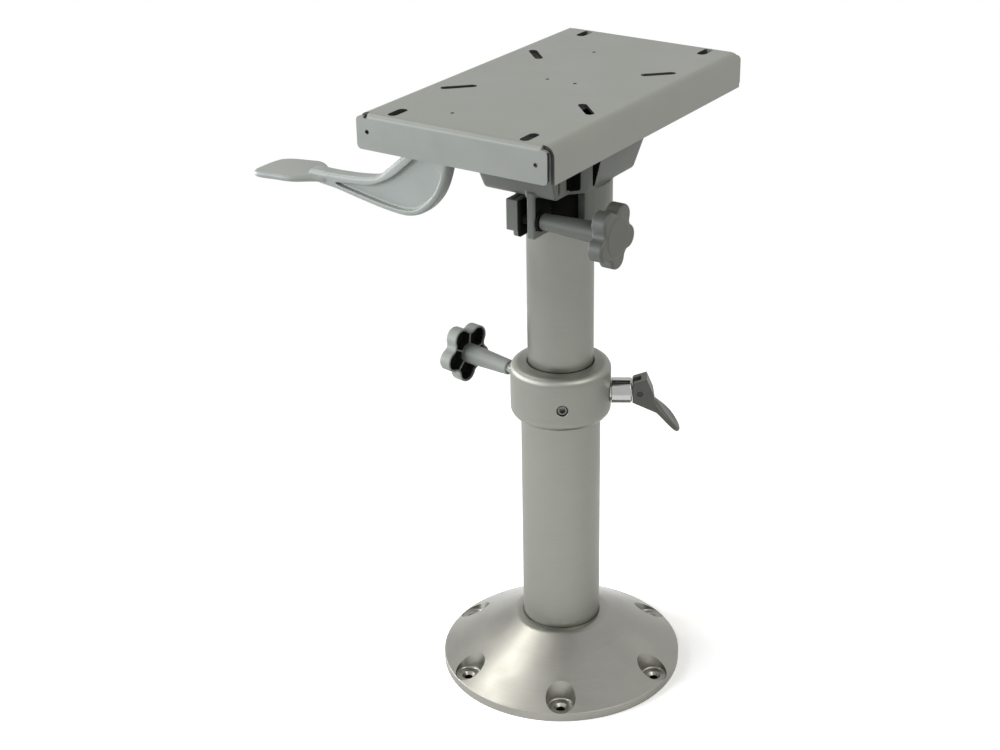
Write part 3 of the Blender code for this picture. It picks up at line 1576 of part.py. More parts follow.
def end_fold(sign):
    """The section of one end: the sheet's last strip, its bend and the flap."""
    end = PLATE_END
    bend = (end - PLATE_END_BEND, PLATE_TOP - PLATE_END_BEND)
    outer = arc(bend, PLATE_END_BEND, 90, 0, 4)
    inner = arc(bend, PLATE_END_BEND - PLATE_SHEET, 0, 90, 4)
    strip = end - PLATE_STRIP
    points = [(strip, PLATE_TOP)] + outer
    points += [(end, PLATE_FLANGE_BOTTOM), (end - PLATE_SHEET, PLATE_FLANGE_BOTTOM)]
    points += inner + [(strip, PLATE_UNDERSIDE)]
    return [(sign * y, z) for y, z in points]


def flap_outline():
    """The end flap seen from its front: full width, with round corners and a notch each side."""
    corner = PLATE_END_CORNER
    side = PLATE_END_HALF - corner
    low = PLATE_FLANGE_BOTTOM + corner
    high = PLATE_TOP - PLATE_END_DROP
    neck = PLATE_SIDE - PLATE_END_NECK
    right = arc((side, low), corner, -90, 0, 4) + arc((side, high - corner), corner, 0, 90, 4)
    right += [(neck, high), (neck, PLATE_TOP - PLATE_END_BEND)]
    return right + [(-x, z) for x, z in reversed(right)]


def make_seat_plate():
    """One folded sheet: a channel along Y, end flaps, and slots for the seat's bolts."""
    body_end = FLAP_INNER - PLATE_END_GAP
    hole_height = PLATE_TOP - PLATE_END_HOLE_DROP
    hole_place = PLATE_SIDE - PLATE_END_HOLE_INSET
    seat = section(
        "seat_plate", channel_shell(), -body_end, body_end, "painted_sheet", SLIDE_AXIS
    )
    for name, sign in (("front", -1), ("back", 1)):
        fold = plate(
            f"seat_plate_fold_{name}",
            [end_fold(sign)],
            2 * PLATE_RELIEF_PLACE,
            parent=SLIDE_AXIS,
            rotation=FACING_X,
        )
        flap = plate(
            f"seat_plate_flap_{name}",
            [flap_outline()],
            PLATE_SHEET,
            parent=SLIDE_AXIS,
            rotation=FACING_Y,
            location=(0, sign * (PLATE_END - PLATE_SHEET / 2), 0),
        )
        join(seat, fold, flap)
        for side in (-1, 1):
            hole = rod(
                f"seat_plate_end_hole_{name}_{side}",
                PLATE_END_HOLE_RADIUS,
                -OVERRUN,
                OVERRUN,
                steps=HOLE_STEPS,
                parent=SLIDE_AXIS,
                rotation=ALONG_Y,
                location=(side * hole_place, sign * PLATE_END, hole_height),
            )
            cut(seat, hole)
    outlines = []
    for side in (-1, 1):
        for end in (-1, 1):
            corner = (side * CORNER_SLOT[0], end * CORNER_SLOT[1])
            outlines.append(
                slot_outline(corner, CORNER_SLOT_LENGTH, CORNER_SLOT_WIDTH, math.pi / 2)
            )
            diagonal = (side * DIAGONAL_SLOT[0], end * DIAGONAL_SLOT[1])
            outlines.append(
                slot_outline(
                    diagonal, DIAGONAL_SLOT_LENGTH, DIAGONAL_SLOT_WIDTH, side * end * math.pi / 4
                )
            )
            relief = (side * PLATE_RELIEF_PLACE, end * body_end)
            outlines.append(circle_outline(relief, PLATE_RELIEF_RADIUS))
    outlines += [circle_outline(place, PIN_HOLE_RADIUS) for place in PIN_HOLES]
    slots = plate(
        "seat_plate_slots", outlines, 4 * PLATE_SHEET, parent=SLIDE_AXIS, location=(0, 0, PLATE_TOP)
    )
    cut(seat, slots)


def make_rod_brackets():
    """Two hangers under the seat plate that the latch rod turns in."""
    x, z = LEVER_PIVOT
    for name, place in zip(("front", "back"), BRACKET_PLACES):
        low = (x - BRACKET_HALF_WIDTH, z - BRACKET_DROP)
        high = (x + BRACKET_HALF_WIDTH, PLATE_UNDERSIDE - SEAT_GAP)
        hole = circle_outline((x, z), ROD_RADIUS + SEAT_GAP, SMALL_STEPS)
        plate(
            f"rod_bracket_{name}",
            [rectangle(low, high), hole],
            BRACKET_THICKNESS,
            "zinc_steel",
            parent=SLIDE_AXIS,
            rotation=FACING_Y,
            location=(0, place, 0),
        )


# Slide release


def make_release_lever():
    """A moulded lever with a recessed web on both faces and a broad paddle grip."""
    lever = plate(
        "release_lever",
        [smooth_outline(LEVER_OUTLINE, OUTLINE_STEPS)],
        LEVER_THICKNESS,
        "light_plastic",
        parent=LEVER_AXIS,
        rotation=FACING_Y,
        location=(0, LEVER_MIDDLE, 0),
    )
    round_edges(lever, LEVER_EDGE, segments=1)
    depth = (LEVER_THICKNESS - LEVER_WEB) / 2
    for name, face in (("front", LEVER_FRONT), ("back", LEVER_BACK)):
        recess = plate(
            f"release_lever_recess_{name}",
            [smooth_outline(LEVER_RECESS, OUTLINE_STEPS)],
            2 * depth,
            parent=LEVER_AXIS,
            rotation=FACING_Y,
            location=(0, face, 0),
        )
        cut(lever, recess)
    paddle = plate(
        "release_lever_paddle",
        [smooth_outline(PADDLE_OUTLINE, OUTLINE_STEPS)],
        PADDLE_THICKNESS,
        parent=LEVER_AXIS,
        location=(0, LEVER_MIDDLE, -PADDLE_DROP - PADDLE_THICKNESS / 2),
    )
    round_edges(paddle, PADDLE_EDGE)
    join(lever, paddle)
    socket_start = LEVER_FRONT + ROD_SINK - SEAT_GAP
    socket = rod(
        "release_lever_socket",
        ROD_RADIUS + SEAT_GAP,
        socket_start,
        LEVER_BACK + OVERRUN,
        parent=LEVER_AXIS,
        rotation=ALONG_Y,
    )
    screw_hole = rod(
        "release_lever_screw_hole",
        ROD_SCREW_RADIUS + SEAT_GAP,
        LEVER_FRONT - OVERRUN,
        socket_start + BITE,
        steps=16,
        parent=LEVER_AXIS,
        rotation=ALONG_Y,
    )
    head_room = rod(
        "release_lever_screw_seat",
        ROD_SCREW_HEAD + SEAT_GAP,
        LEVER_FRONT - OVERRUN,
        LEVER_FRONT + ROD_SINK / 2,
        parent=LEVER_AXIS,
        rotation=ALONG_Y,
    )
    cut(lever, socket, screw_hole, head_room)


def make_latch_rod():
    """The rod that carries the lever's turn to the pawl, and the screw in its end."""
    start = LEVER_FRONT + ROD_SINK
    latch_rod = rod(
        "latch_rod",
        ROD_RADIUS,
        start,
        ROD_END,
        "zinc_steel",
        parent=LEVER_AXIS,
        rotation=ALONG_Y,
    )
    hole = rod(
        "latch_rod_screw_hole",
        ROD_SCREW_RADIUS + SEAT_GAP,
        start - OVERRUN,
        start + ROD_SCREW_LENGTH,
        steps=16,
        parent=LEVER_AXIS,
        rotation=ALONG_Y,
    )
    cut(latch_rod, hole)
    head_back = LEVER_FRONT + ROD_SINK / 2 - SEAT_GAP
    turned(
        "lever_screw",
        [
            (0, start + ROD_SCREW_LENGTH - BITE),
            (ROD_SCREW_RADIUS, start + ROD_SCREW_LENGTH - BITE),
            (ROD_SCREW_RADIUS, head_back),
            (ROD_SCREW_HEAD, head_back),
            (ROD_SCREW_HEAD, LEVER_FRONT + SEAT_GAP),
            (0, LEVER_FRONT + SEAT_GAP),
        ],
        "zinc_steel",
        steps=16,
        closed=False,
        parent=LEVER_AXIS,
        rotation=ALONG_Y,
    )


def make_latch_pawl():
    """The pawl whose teeth rise under the rack's windows and drop when the lever is lifted."""
    rack_under = RAIL_BOTTOM + RACK_HEIGHT - RACK_THICKNESS - LEVER_PIVOT[1]
    reach = RACK_PLACE - LEVER_PIVOT[0]
    tooth_half = PAWL_TOOTH[0] / 2
    arm = PAWL_THICKNESS / 2
    pawl = rod(
        "latch_pawl",
        PAWL_HUB_RADIUS,
        -PAWL_HALF_LENGTH,
        PAWL_HALF_LENGTH,
        "zinc_steel",
        parent=LEVER_AXIS,
        rotation=ALONG_Y,
    )
    tongue = box(
        "latch_pawl_arm",
        (0, -PAWL_HALF_LENGTH, -arm),
        (reach + tooth_half, PAWL_HALF_LENGTH, arm),
        parent=LEVER_AXIS,
    )
    join(pawl, tongue)
    for i in (-1, 1):
        middle = i * RACK_PITCH / 2
        tooth = box(
            f"latch_pawl_tooth_{i}",
            (reach - tooth_half, middle - PAWL_TOOTH[1] / 2, -arm / 2),
            (reach + tooth_half, middle + PAWL_TOOTH[1] / 2, rack_under - SEAT_GAP),
            parent=LEVER_AXIS,
        )
        join(pawl, tooth)
    bore = rod(
        "latch_pawl_bore",
        ROD_RADIUS + SEAT_GAP,
        -PAWL_HALF_LENGTH - OVERRUN,
        PAWL_HALF_LENGTH + OVERRUN,
        parent=LEVER_AXIS,
        rotation=ALONG_Y,
    )
    cut(pawl, bore)


def make_return_spring():
    """The coil round the rod that turns the lever back down."""
    radius = ROD_RADIUS + SEAT_GAP + RETURN_SPRING_WIRE / 2
    points = coil(radius, RETURN_SPRING_PITCH, RETURN_SPRING_TURNS, RETURN_SPRING_PLACE)
    points = [(z, along, y) for along, y, z in points]
    bar("return_spring", points, RETURN_SPRING_WIRE / 2, "spring_steel", parent=LEVER_AXIS)


HEIGHT_AXIS = pivot("height_axis")
SWIVEL_AXIS = pivot("swivel_axis", parent=HEIGHT_AXIS)
SLIDE_AXIS = pivot("slide_axis", parent=SWIVEL_AXIS)
LEVER_AXIS = pivot("lever_axis", (LEVER_PIVOT[0], 0, LEVER_PIVOT[1]), parent=SLIDE_AXIS)


def make_pedestal():
    make_base()
    make_outer_tube()
    make_guide_bush()
    make_collar()
    make_set_screws()
    make_inner_tube()
    make_guide_foot()
    make_swivel_bearing()
    make_lock_knob()
    pin_axis = pivot("lock_pin_axis", (0, 0, PIN_HEIGHT), (0, 0, PIN_ANGLE))
    make_barrel(pin_axis)
    make_lock_spring(pin_axis)
    make_lock_pin(pin_axis)
    make_cam_lever(pin_axis)
    make_head()
    make_clamp_screw()
    make_slide_base()
    make_rails()
    make_latch_rack()
    make_seat_plate()
    make_rod_brackets()
    make_release_lever()
    make_latch_rod()
    make_latch_pawl()
    make_return_spring()


make_pedestal()
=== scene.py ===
"""Looks for a height-adjustable boat seat pedestal.

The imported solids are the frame. Each class here is one sub-assembly: it holds its sizes in
metres, builds the pieces that need a finer shape than the solids have, and dresses them.
"""

import json
import logging
import math
from dataclasses import dataclass, field
from enum import Enum
from typing import Any, Callable, Iterable, Sequence

import bmesh
import bpy
from mathutils import Matrix, Vector

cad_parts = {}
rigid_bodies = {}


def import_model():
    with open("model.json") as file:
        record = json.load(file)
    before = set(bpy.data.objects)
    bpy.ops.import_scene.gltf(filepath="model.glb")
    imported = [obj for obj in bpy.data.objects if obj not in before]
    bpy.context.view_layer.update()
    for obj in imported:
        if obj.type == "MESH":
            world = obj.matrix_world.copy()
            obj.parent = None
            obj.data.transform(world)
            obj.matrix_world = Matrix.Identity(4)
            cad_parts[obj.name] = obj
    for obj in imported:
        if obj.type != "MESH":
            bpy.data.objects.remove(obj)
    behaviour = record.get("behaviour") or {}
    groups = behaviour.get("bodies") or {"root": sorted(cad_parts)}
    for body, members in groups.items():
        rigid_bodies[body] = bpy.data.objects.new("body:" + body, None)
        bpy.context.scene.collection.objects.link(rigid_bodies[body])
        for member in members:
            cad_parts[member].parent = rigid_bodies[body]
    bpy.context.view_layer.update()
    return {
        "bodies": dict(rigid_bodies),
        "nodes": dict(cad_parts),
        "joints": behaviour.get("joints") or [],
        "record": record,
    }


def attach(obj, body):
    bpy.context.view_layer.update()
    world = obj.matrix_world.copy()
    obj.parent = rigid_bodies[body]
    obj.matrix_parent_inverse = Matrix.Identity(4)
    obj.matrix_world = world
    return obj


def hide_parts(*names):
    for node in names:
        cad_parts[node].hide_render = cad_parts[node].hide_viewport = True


LOG = logging.getLogger("pedestal")
MM = 0.001
SINK = 0.001
OVERRUN = 0.01
Point = tuple[float, float]
Place = tuple[float, float, float]
Colour = tuple[float, float, float, float]

# SINK is how deep a joined piece goes into its neighbour, and OVERRUN how far a cutter goes on

ALONG_X = Matrix.Rotation(math.radians(90), 4, "Y")
ALONG_Y = Matrix.Rotation(math.radians(-90), 4, "X")
FACING_Y = Matrix.Rotation(math.radians(90), 4, "X")
FACING_X = Matrix.Rotation(math.radians(90), 4, "Z") @ FACING_Y


def turn(degrees: float, axis: str) -> Matrix:
    """Makes a rotation about one axis."""
    return Matrix.Rotation(math.radians(degrees), 4, axis)


def shift(x: float = 0.0, y: float = 0.0, z: float = 0.0) -> Matrix:
    """Makes a move along the three axes, in metres."""
    return Matrix.Translation((x, y, z))


class Grain(Enum):
    """What a surface's fine marks follow."""

    EVEN = "even"
    RINGS = "rings"
    ROUND_THE_AXIS = "round the axis"


# Materials


def linear(hex_code: str) -> Colour:
    """Turns an sRGB hex value into the linear colour that a shader takes.

    Args:
        hex_code: Six hex digits, with or without a leading hash.

    Returns:
        Linear red, green, blue and an alpha of 1.
    """
    digits = hex_code.lstrip("#")
    channels = [int(digits[i : i + 2], 16) / 255 for i in (0, 2, 4)]
    red, green, blue = (
        c / 12.92 if c <= 0.04045 else ((c + 0.055) / 1.055) ** 2.4 for c in channels
    )
    return red, green, blue, 1.0


def add_node(
    tree: bpy.types.NodeTree,
    kind: str,
    settings: dict[str | int, Any] | None = None,
    links: dict[str | int, bpy.types.NodeSocket] | None = None,
) -> bpy.types.Node:
    """Adds a node with its settings and incoming links.

    Args:
        tree: The node tree that the node goes into.
        kind: The node's type, such as ShaderNodeMath.
        settings: Property names, or input names and numbers, with their values.
        links: Input names or numbers, with the socket that feeds each.

    Returns:
        The new node.
    """
    node = tree.nodes.new(kind)
    for key, value in (settings or {}).items():
        if isinstance(key, str) and hasattr(node, key):
            setattr(node, key, value)
        else:
            node.inputs[key].default_value = value
    for key, socket in (links or {}).items():
        tree.links.new(socket, node.inputs[key])
    return node


@dataclass(frozen=True)
class Finish:
    """A surface whose tone drifts slowly, with a fine grain in its normal.

    Lengths are in millimetres and real, except that a grain finer than about 0.3 mm is drawn
    at 0.3 mm, because a finer one is lost at the distance that the whole object is seen from.
    """

    name: str
    colour: str
    roughness: float
    metallic: float = 0.0
    ior: float = 1.5
    grain: Grain = Grain.EVEN
    grain_mm: float = 0.6
    grain_depth_mm: float = 0.01
    tone_mm: float = 40.0
    tone_change: float = 0.05
    roughness_change: float = 0.06
    anisotropic: float = 0.0
    coat: float = 0.0

    def build(self) -> bpy.types.Material:
        """Makes the material.

        Returns:
            A material with procedural colour, roughness and bump.
        """
        material = bpy.data.materials.new(self.name)
        material.use_nodes = True
        tree = material.node_tree
        shader = tree.nodes["Principled BSDF"]
        shader.inputs["Metallic"].default_value = self.metallic
        if not self.metallic:
            shader.inputs["IOR"].default_value = self.ior
        if self.coat:
            shader.inputs["Coat Weight"].default_value = self.coat
            shader.inputs["Coat Roughness"].default_value = 0.25
        if self.anisotropic:
            shader.inputs["Anisotropic"].default_value = self.anisotropic
            tangent = add_node(
                tree, "ShaderNodeTangent", {"direction_type": "RADIAL", "axis": "Z"}
            )
            tree.links.new(tangent.outputs[0], shader.inputs["Tangent"])
        place = add_node(tree, "ShaderNodeTexCoord").outputs["Object"]
        self.wire(tree, shader, place)
        return material

    def wire(
        self, tree: bpy.types.NodeTree, shader: bpy.types.Node, place: bpy.types.NodeSocket
    ) -> None:
        """Links the pattern into the shader.

        Args:
            tree: The material's node tree.
            shader: Its Principled BSDF.
            place: The object coordinates, in metres.
        """
        tone = self.noise(tree, place, self.tone_mm, detail=4.0)
        fine = self.noise(tree, self.follow(tree, place), self.grain_mm, detail=2.0)
        mixed = add_node(
            tree,
            "ShaderNodeMath",
            {"operation": "MULTIPLY_ADD", 1: self.fine_share, 2: 0.5 - 0.5 * self.fine_share},
            {0: fine},
        )
        both = add_node(
            tree, "ShaderNodeMath", {"operation": "ADD"}, {0: mixed.outputs[0], 1: tone}
        )
        level = add_node(
            tree, "ShaderNodeMath", {"operation": "SUBTRACT", 1: 0.5}, {0: both.outputs[0]}
        )
        self.link_colour(tree, shader, level.outputs[0])
        self.link_roughness(tree, shader, tone)
        self.link_bump(tree, shader, fine, self.grain_depth_mm)

    @property
    def fine_share(self) -> float:
        """How much of the fine grain shows in the colour: more where a tool left rings."""
        return 0.2 if self.grain is Grain.EVEN else 0.6

    def follow(
        self, tree: bpy.types.NodeTree, place: bpy.types.NodeSocket
    ) -> bpy.types.NodeSocket:
        """Bends the coordinates so that the grain follows the marks of the tool.

        Args:
            tree: The material's node tree.
            place: The object coordinates, in metres.

        Returns:
            Coordinates in which the grain is drawn, in metres.
        """
        if self.grain is Grain.EVEN:
            return place
        apart = add_node(tree, "ShaderNodeSeparateXYZ", links={0: place})
        flat = add_node(
            tree, "ShaderNodeCombineXYZ", links={0: apart.outputs[0], 1: apart.outputs[1]}
        )
        radius = add_node(
            tree, "ShaderNodeVectorMath", {"operation": "LENGTH"}, {0: flat.outputs[0]}
        )
        along = radius.outputs["Value"] if self.grain is Grain.RINGS else apart.outputs[2]
        slow = add_node(
            tree, "ShaderNodeVectorMath", {"operation": "SCALE", "Scale": 0.012}, {0: place}
        )
        line = add_node(tree, "ShaderNodeCombineXYZ", links={2: along})
        return add_node(
            tree, "ShaderNodeVectorMath", {"operation": "ADD"}, {0: slow.outputs[0], 1: line.outputs[0]}
        ).outputs[0]

    def noise(
        self,
        tree: bpy.types.NodeTree,
        place: bpy.types.NodeSocket,
        size_mm: float,
        detail: float = 2.0,
    ) -> bpy.types.NodeSocket:
        """Adds a noise whose blobs have a real size.

        Args:
            tree: The material's node tree.
            place: The coordinates to read, in metres.
            size_mm: The size of one blob.
            detail: The number of finer octaves.

        Returns:
            The noise's value socket, from 0 to 1.
        """
        made = add_node(
            tree,
            "ShaderNodeTexNoise",
            {"Scale": 1 / (size_mm * MM), "Detail": detail},
            {"Vector": place},
        )
        return made.outputs[0]

    def link_colour(
        self, tree: bpy.types.NodeTree, shader: bpy.types.Node, tone: bpy.types.NodeSocket
    ) -> None:
        """Feeds the base colour from a ramp between a darker and a lighter tone.

        Args:
            tree: The material's node tree.
            shader: Its Principled BSDF.
            tone: The pattern, from 0 to 1.
        """
        base = linear(self.colour)
        ramp = add_node(tree, "ShaderNodeValToRGB", links={0: tone})
        ramp.color_ramp.elements[0].position = 0.3
        ramp.color_ramp.elements[1].position = 0.7
        for element, factor in zip(
            ramp.color_ramp.elements, (1 - self.tone_change, 1 + self.tone_change)
        ):
            element.color = (*[min(1.0, c * factor) for c in base[:3]], 1.0)
        tree.links.new(ramp.outputs[0], shader.inputs["Base Color"])

    def link_roughness(
        self, tree: bpy.types.NodeTree, shader: bpy.types.Node, tone: bpy.types.NodeSocket
    ) -> None:
        """Feeds the roughness, which varies a little about its usual value.

        Args:
            tree: The material's node tree.
            shader: Its Principled BSDF.
            tone: The pattern, from 0 to 1.
        """
        spread = add_node(
            tree,
            "ShaderNodeMapRange",
            {
                "From Min": 0.3,
                "From Max": 0.7,
                "To Min": max(0.02, self.roughness - self.roughness_change),
                "To Max": min(1.0, self.roughness + self.roughness_change),
            },
            {"Value": tone},
        )
        tree.links.new(spread.outputs[0], shader.inputs["Roughness"])

    def link_bump(
        self,
        tree: bpy.types.NodeTree,
        shader: bpy.types.Node,
        height: bpy.types.NodeSocket,
        depth_mm: float,
    ) -> None:
        """Feeds the normal from a height pattern of a real depth.

        Args:
            tree: The material's node tree.
            shader: Its Principled BSDF.
            height: The pattern, from 0 to 1.
            depth_mm: The depth of the pattern.
        """
        bump = add_node(
            tree,
            "ShaderNodeBump",
            {"Strength": 1.0, "Distance": depth_mm * MM},
            {"Height": height},
        )
        tree.links.new(bump.outputs[0], shader.inputs["Normal"])


def make_finishes() -> dict[str, Finish]:
    """Lists the finishes by the record's material slots.

    Returns:
        Slot name to finish.
    """
    return {
        # Rings from the lathe spread each light into a bright wedge across the cone
        "spun_aluminium": Finish(
            "Turned_Aluminium",
            "#8C8B85",
            0.34,
            1.0,
            grain=Grain.RINGS,
            grain_mm=0.5,
            grain_depth_mm=0.006,
            tone_change=0.05,
            anisotropic=0.75,
        ),
        # Satin anodising over fine polishing marks that run round the tube
        "tube_aluminium": Finish(
            "Anodised_Aluminium_Tube",
            "#85867F",
            0.40,
            1.0,
            grain=Grain.ROUND_THE_AXIS,
            grain_mm=0.35,
            grain_depth_mm=0.004,
            anisotropic=0.8,
        ),
        "collar_aluminium": Finish(
            "Anodised_Aluminium_Turned",
            "#85867F",
            0.47,
            1.0,
            grain=Grain.ROUND_THE_AXIS,
            grain_mm=0.35,
            grain_depth_mm=0.004,
            anisotropic=0.6,
        ),
        # Powder coat on a casting: a slight orange peel that softens the lights
        "cast_head": Finish(
            "Powder_Coated_Die_Casting", "#62655F", 0.48, grain_mm=1.4, grain_depth_mm=0.03
        ),
        "painted_sheet": Finish(
            "Powder_Coated_Sheet_Steel", "#8C8E87", 0.42, grain_mm=1.2, grain_depth_mm=0.018
        ),
        # Spark-eroded moulds give the plastics an even, fine grain
        "knob_plastic": Finish(
            "Moulded_Nylon_Grey", "#888B86", 0.5, grain_mm=0.4, grain_depth_mm=0.012
        ),
        "knob_plastic_dark": Finish(
            "Moulded_Nylon_Dark_Grey", "#565852", 0.5, grain_mm=0.4, grain_depth_mm=0.012
        ),
        "lever_plastic": Finish(
            "Moulded_ABS_Grey", "#989C96", 0.42, ior=1.54, grain_mm=0.4, grain_depth_mm=0.01
        ),
        "cam_plastic": Finish(
            "Moulded_Glass_Filled_Nylon", "#4C4D47", 0.42, grain_mm=0.4, grain_depth_mm=0.015
        ),
        "black_nylon": Finish("Moulded_Nylon_Black", "#090A07", 0.8, ior=1.2, grain_mm=0.4),
        # Painted shade: a near-black nylon finish for the knobs' hollows and the clamp's stud, standing in
        # for the shade in them
        "painted_shade_nylon": Finish(
            "Moulded_Nylon_Painted_Shade", "#1C1F1B", 0.85, ior=1.3, grain_mm=0.8, grain_depth_mm=0.03
        ),
        # Painted shade: a near-black finish for the base's screw holes and the clamp's slit and pockets,
        # standing in for their shade
        "painted_shade_casting": Finish(
            "Painted_Shade_Casting", "#0D0F0C", 0.85, ior=1.2, grain_mm=1.0, grain_depth_mm=0.03
        ),
        "white_nylon": Finish("Moulded_Nylon_White", "#DADAD2", 0.5, grain_mm=0.4),
        "chrome": Finish(
            "Chrome_Plated_Brass", "#A9A9A7", 0.12, 1.0, grain_depth_mm=0.001, roughness_change=0.03
        ),
        "zinc_steel": Finish("Zinc_Plated_Steel", "#B9BBBA", 0.32, 1.0, grain_depth_mm=0.004),
        "socket_screw_steel": Finish(
            "Stainless_Steel_Machined", "#666864", 0.3, 1.0, grain_depth_mm=0.003
        ),
        # Painted shade: a black finish on the slide, the pivot pin, the collar's bore and the plate's
        # inner faces stands in for the shade under the plate and in gaps
        "painted_shade_black": Finish(
            "Painted_Shade_Black_Steel", "#232422", 0.5, grain_mm=0.8, grain_depth_mm=0.01
        ),
        "spring_steel": Finish("Spring_Steel_Wire", "#8C8C8A", 0.3, 1.0, grain_depth_mm=0.002),
    }


class Wardrobe:
    """Makes each finish once and dresses pieces with it."""

    def __init__(self, finishes: dict[str, Finish]) -> None:
        """Builds the materials.

        Args:
            finishes: Slot name to finish.
        """
        self.materials = {slot: finish.build() for slot, finish in finishes.items()}

    def dress(self, obj: bpy.types.Object, slot: str, look: str = "") -> None:
        """Gives a piece the finish of a slot, or another look on the same slot.

        Args:
            obj: The piece.
            slot: The record's slot name.
            look: The name of the finish where it isn't the slot's own.
        """
        obj.data.materials.clear()
        obj.data.materials.append(self.materials[look or slot])

    def tint(
        self, obj: bpy.types.Object, look: str, chosen: Callable[[Vector, Vector], bool]
    ) -> None:
        """Gives some faces of a piece another finish.

        Args:
            obj: The piece, already dressed.
            look: The name of the faces' finish.
            chosen: Tells from a face's centre and normal whether it is one of them.
        """
        obj.data.materials.append(self.materials[look])
        for face in obj.data.polygons:
            if chosen(face.center, face.normal):
                face.material_index = 1

    def dress_frame(self, frame: dict[str, Any]) -> None:
        """Gives every solid of the frame its slot's finish.
        """
        for row in frame["record"]["subparts"]:
            node = frame["nodes"][row["node"]]
            for holder in node.material_slots:
                holder.material = self.materials[row["material_slot"]]


# Outlines


def arc(centre: Point, radius: float, start: float, end: float, steps: int) -> list[Point]:
    """Lists points on an arc, both ends included.

    Args:
        centre: The arc's centre.
        radius: Its radius.
        start: The first angle, in degrees.
        end: The last angle, in degrees.
        steps: The number of straight steps between them.

    Returns:
        The points in order.
    """
    points = []
    for i in range(steps + 1):
        angle = math.radians(start + (end - start) * i / steps)
        points.append((centre[0] + radius * math.cos(angle), centre[1] + radius * math.sin(angle)))
    return points


def slot_outline(centre: Point, length: float, width: float, degrees: float) -> list[Point]:
    """Draws a slot with round ends, its length along an angle.

    Args:
        centre: The slot's middle.
        length: Its whole length.
        width: Its width.
        degrees: The angle of its length, from X.

    Returns:
        The closed outline.
    """
    reach = (length - width) / 2
    step = (reach * math.cos(math.radians(degrees)), reach * math.sin(math.radians(degrees)))
    ahead = (centre[0] + step[0], centre[1] + step[1])
    behind = (centre[0] - step[0], centre[1] - step[1])
    front = arc(ahead, width / 2, degrees - 90, degrees + 90, 14)
    return front + arc(behind, width / 2, degrees + 90, degrees + 270, 14)


def circle(centre: Point, radius: float, steps: int = 32) -> list[Point]:
    """Draws a full circle."""
    return arc(centre, radius, 0, 360 - 360 / steps, steps - 1)


def smooth(points: Sequence[Point], steps: int = 8) -> list[Point]:
    """Draws a closed Catmull-Rom curve through the points.

    Args:
        points: What it passes through.
        steps: The number of straight steps between two of them.

    Returns:
        The finer outline.
    """
    count = len(points)
    outline = []
    for i in range(count):
        before, here, after, beyond = (points[(i + k) % count] for k in (-1, 0, 1, 2))
        for step in range(steps):
            t = step / steps
            weights = (
                (-t + 2 * t**2 - t**3) / 2,
                (2 - 5 * t**2 + 3 * t**3) / 2,
                (t + 4 * t**2 - 3 * t**3) / 2,
                (-(t**2) + t**3) / 2,
            )
            near = (before, here, after, beyond)
            outline.append(tuple(sum(w * p[k] for w, p in zip(weights, near)) for k in (0, 1)))
    return outline


def fillet(points: Sequence[Point], radii: dict[int, float], steps: int = 6) -> list[Point]:
    """Rounds some corners of an open or closed line.

    Args:
        points: The line's corners.
        radii: Corner number to the fillet's radius.
        steps: The number of straight steps in a fillet.

    Returns:
        The line with arcs in place of those corners.
    """
    line: list[Point] = []
    count = len(points)
    for i, point in enumerate(points):
        if i not in radii:
            line.append(point)
            continue
        here = Vector(point)
        back = (Vector(points[i - 1]) - here).normalized()
        ahead = (Vector(points[(i + 1) % count]) - here).normalized()
        half = back.angle(ahead) / 2
        reach = radii[i] / math.tan(half)
        centre = here + (back + ahead).normalized() * (radii[i] / math.sin(half))
        first, last = here + back * reach - centre, here + ahead * reach - centre
        sweep = first.angle_signed(last)
        for k in range(steps + 1):
            arm = first.copy()
            arm.rotate(Matrix.Rotation(-sweep * k / steps, 2))
            line.append(tuple(centre + arm))
    return line


# Solids


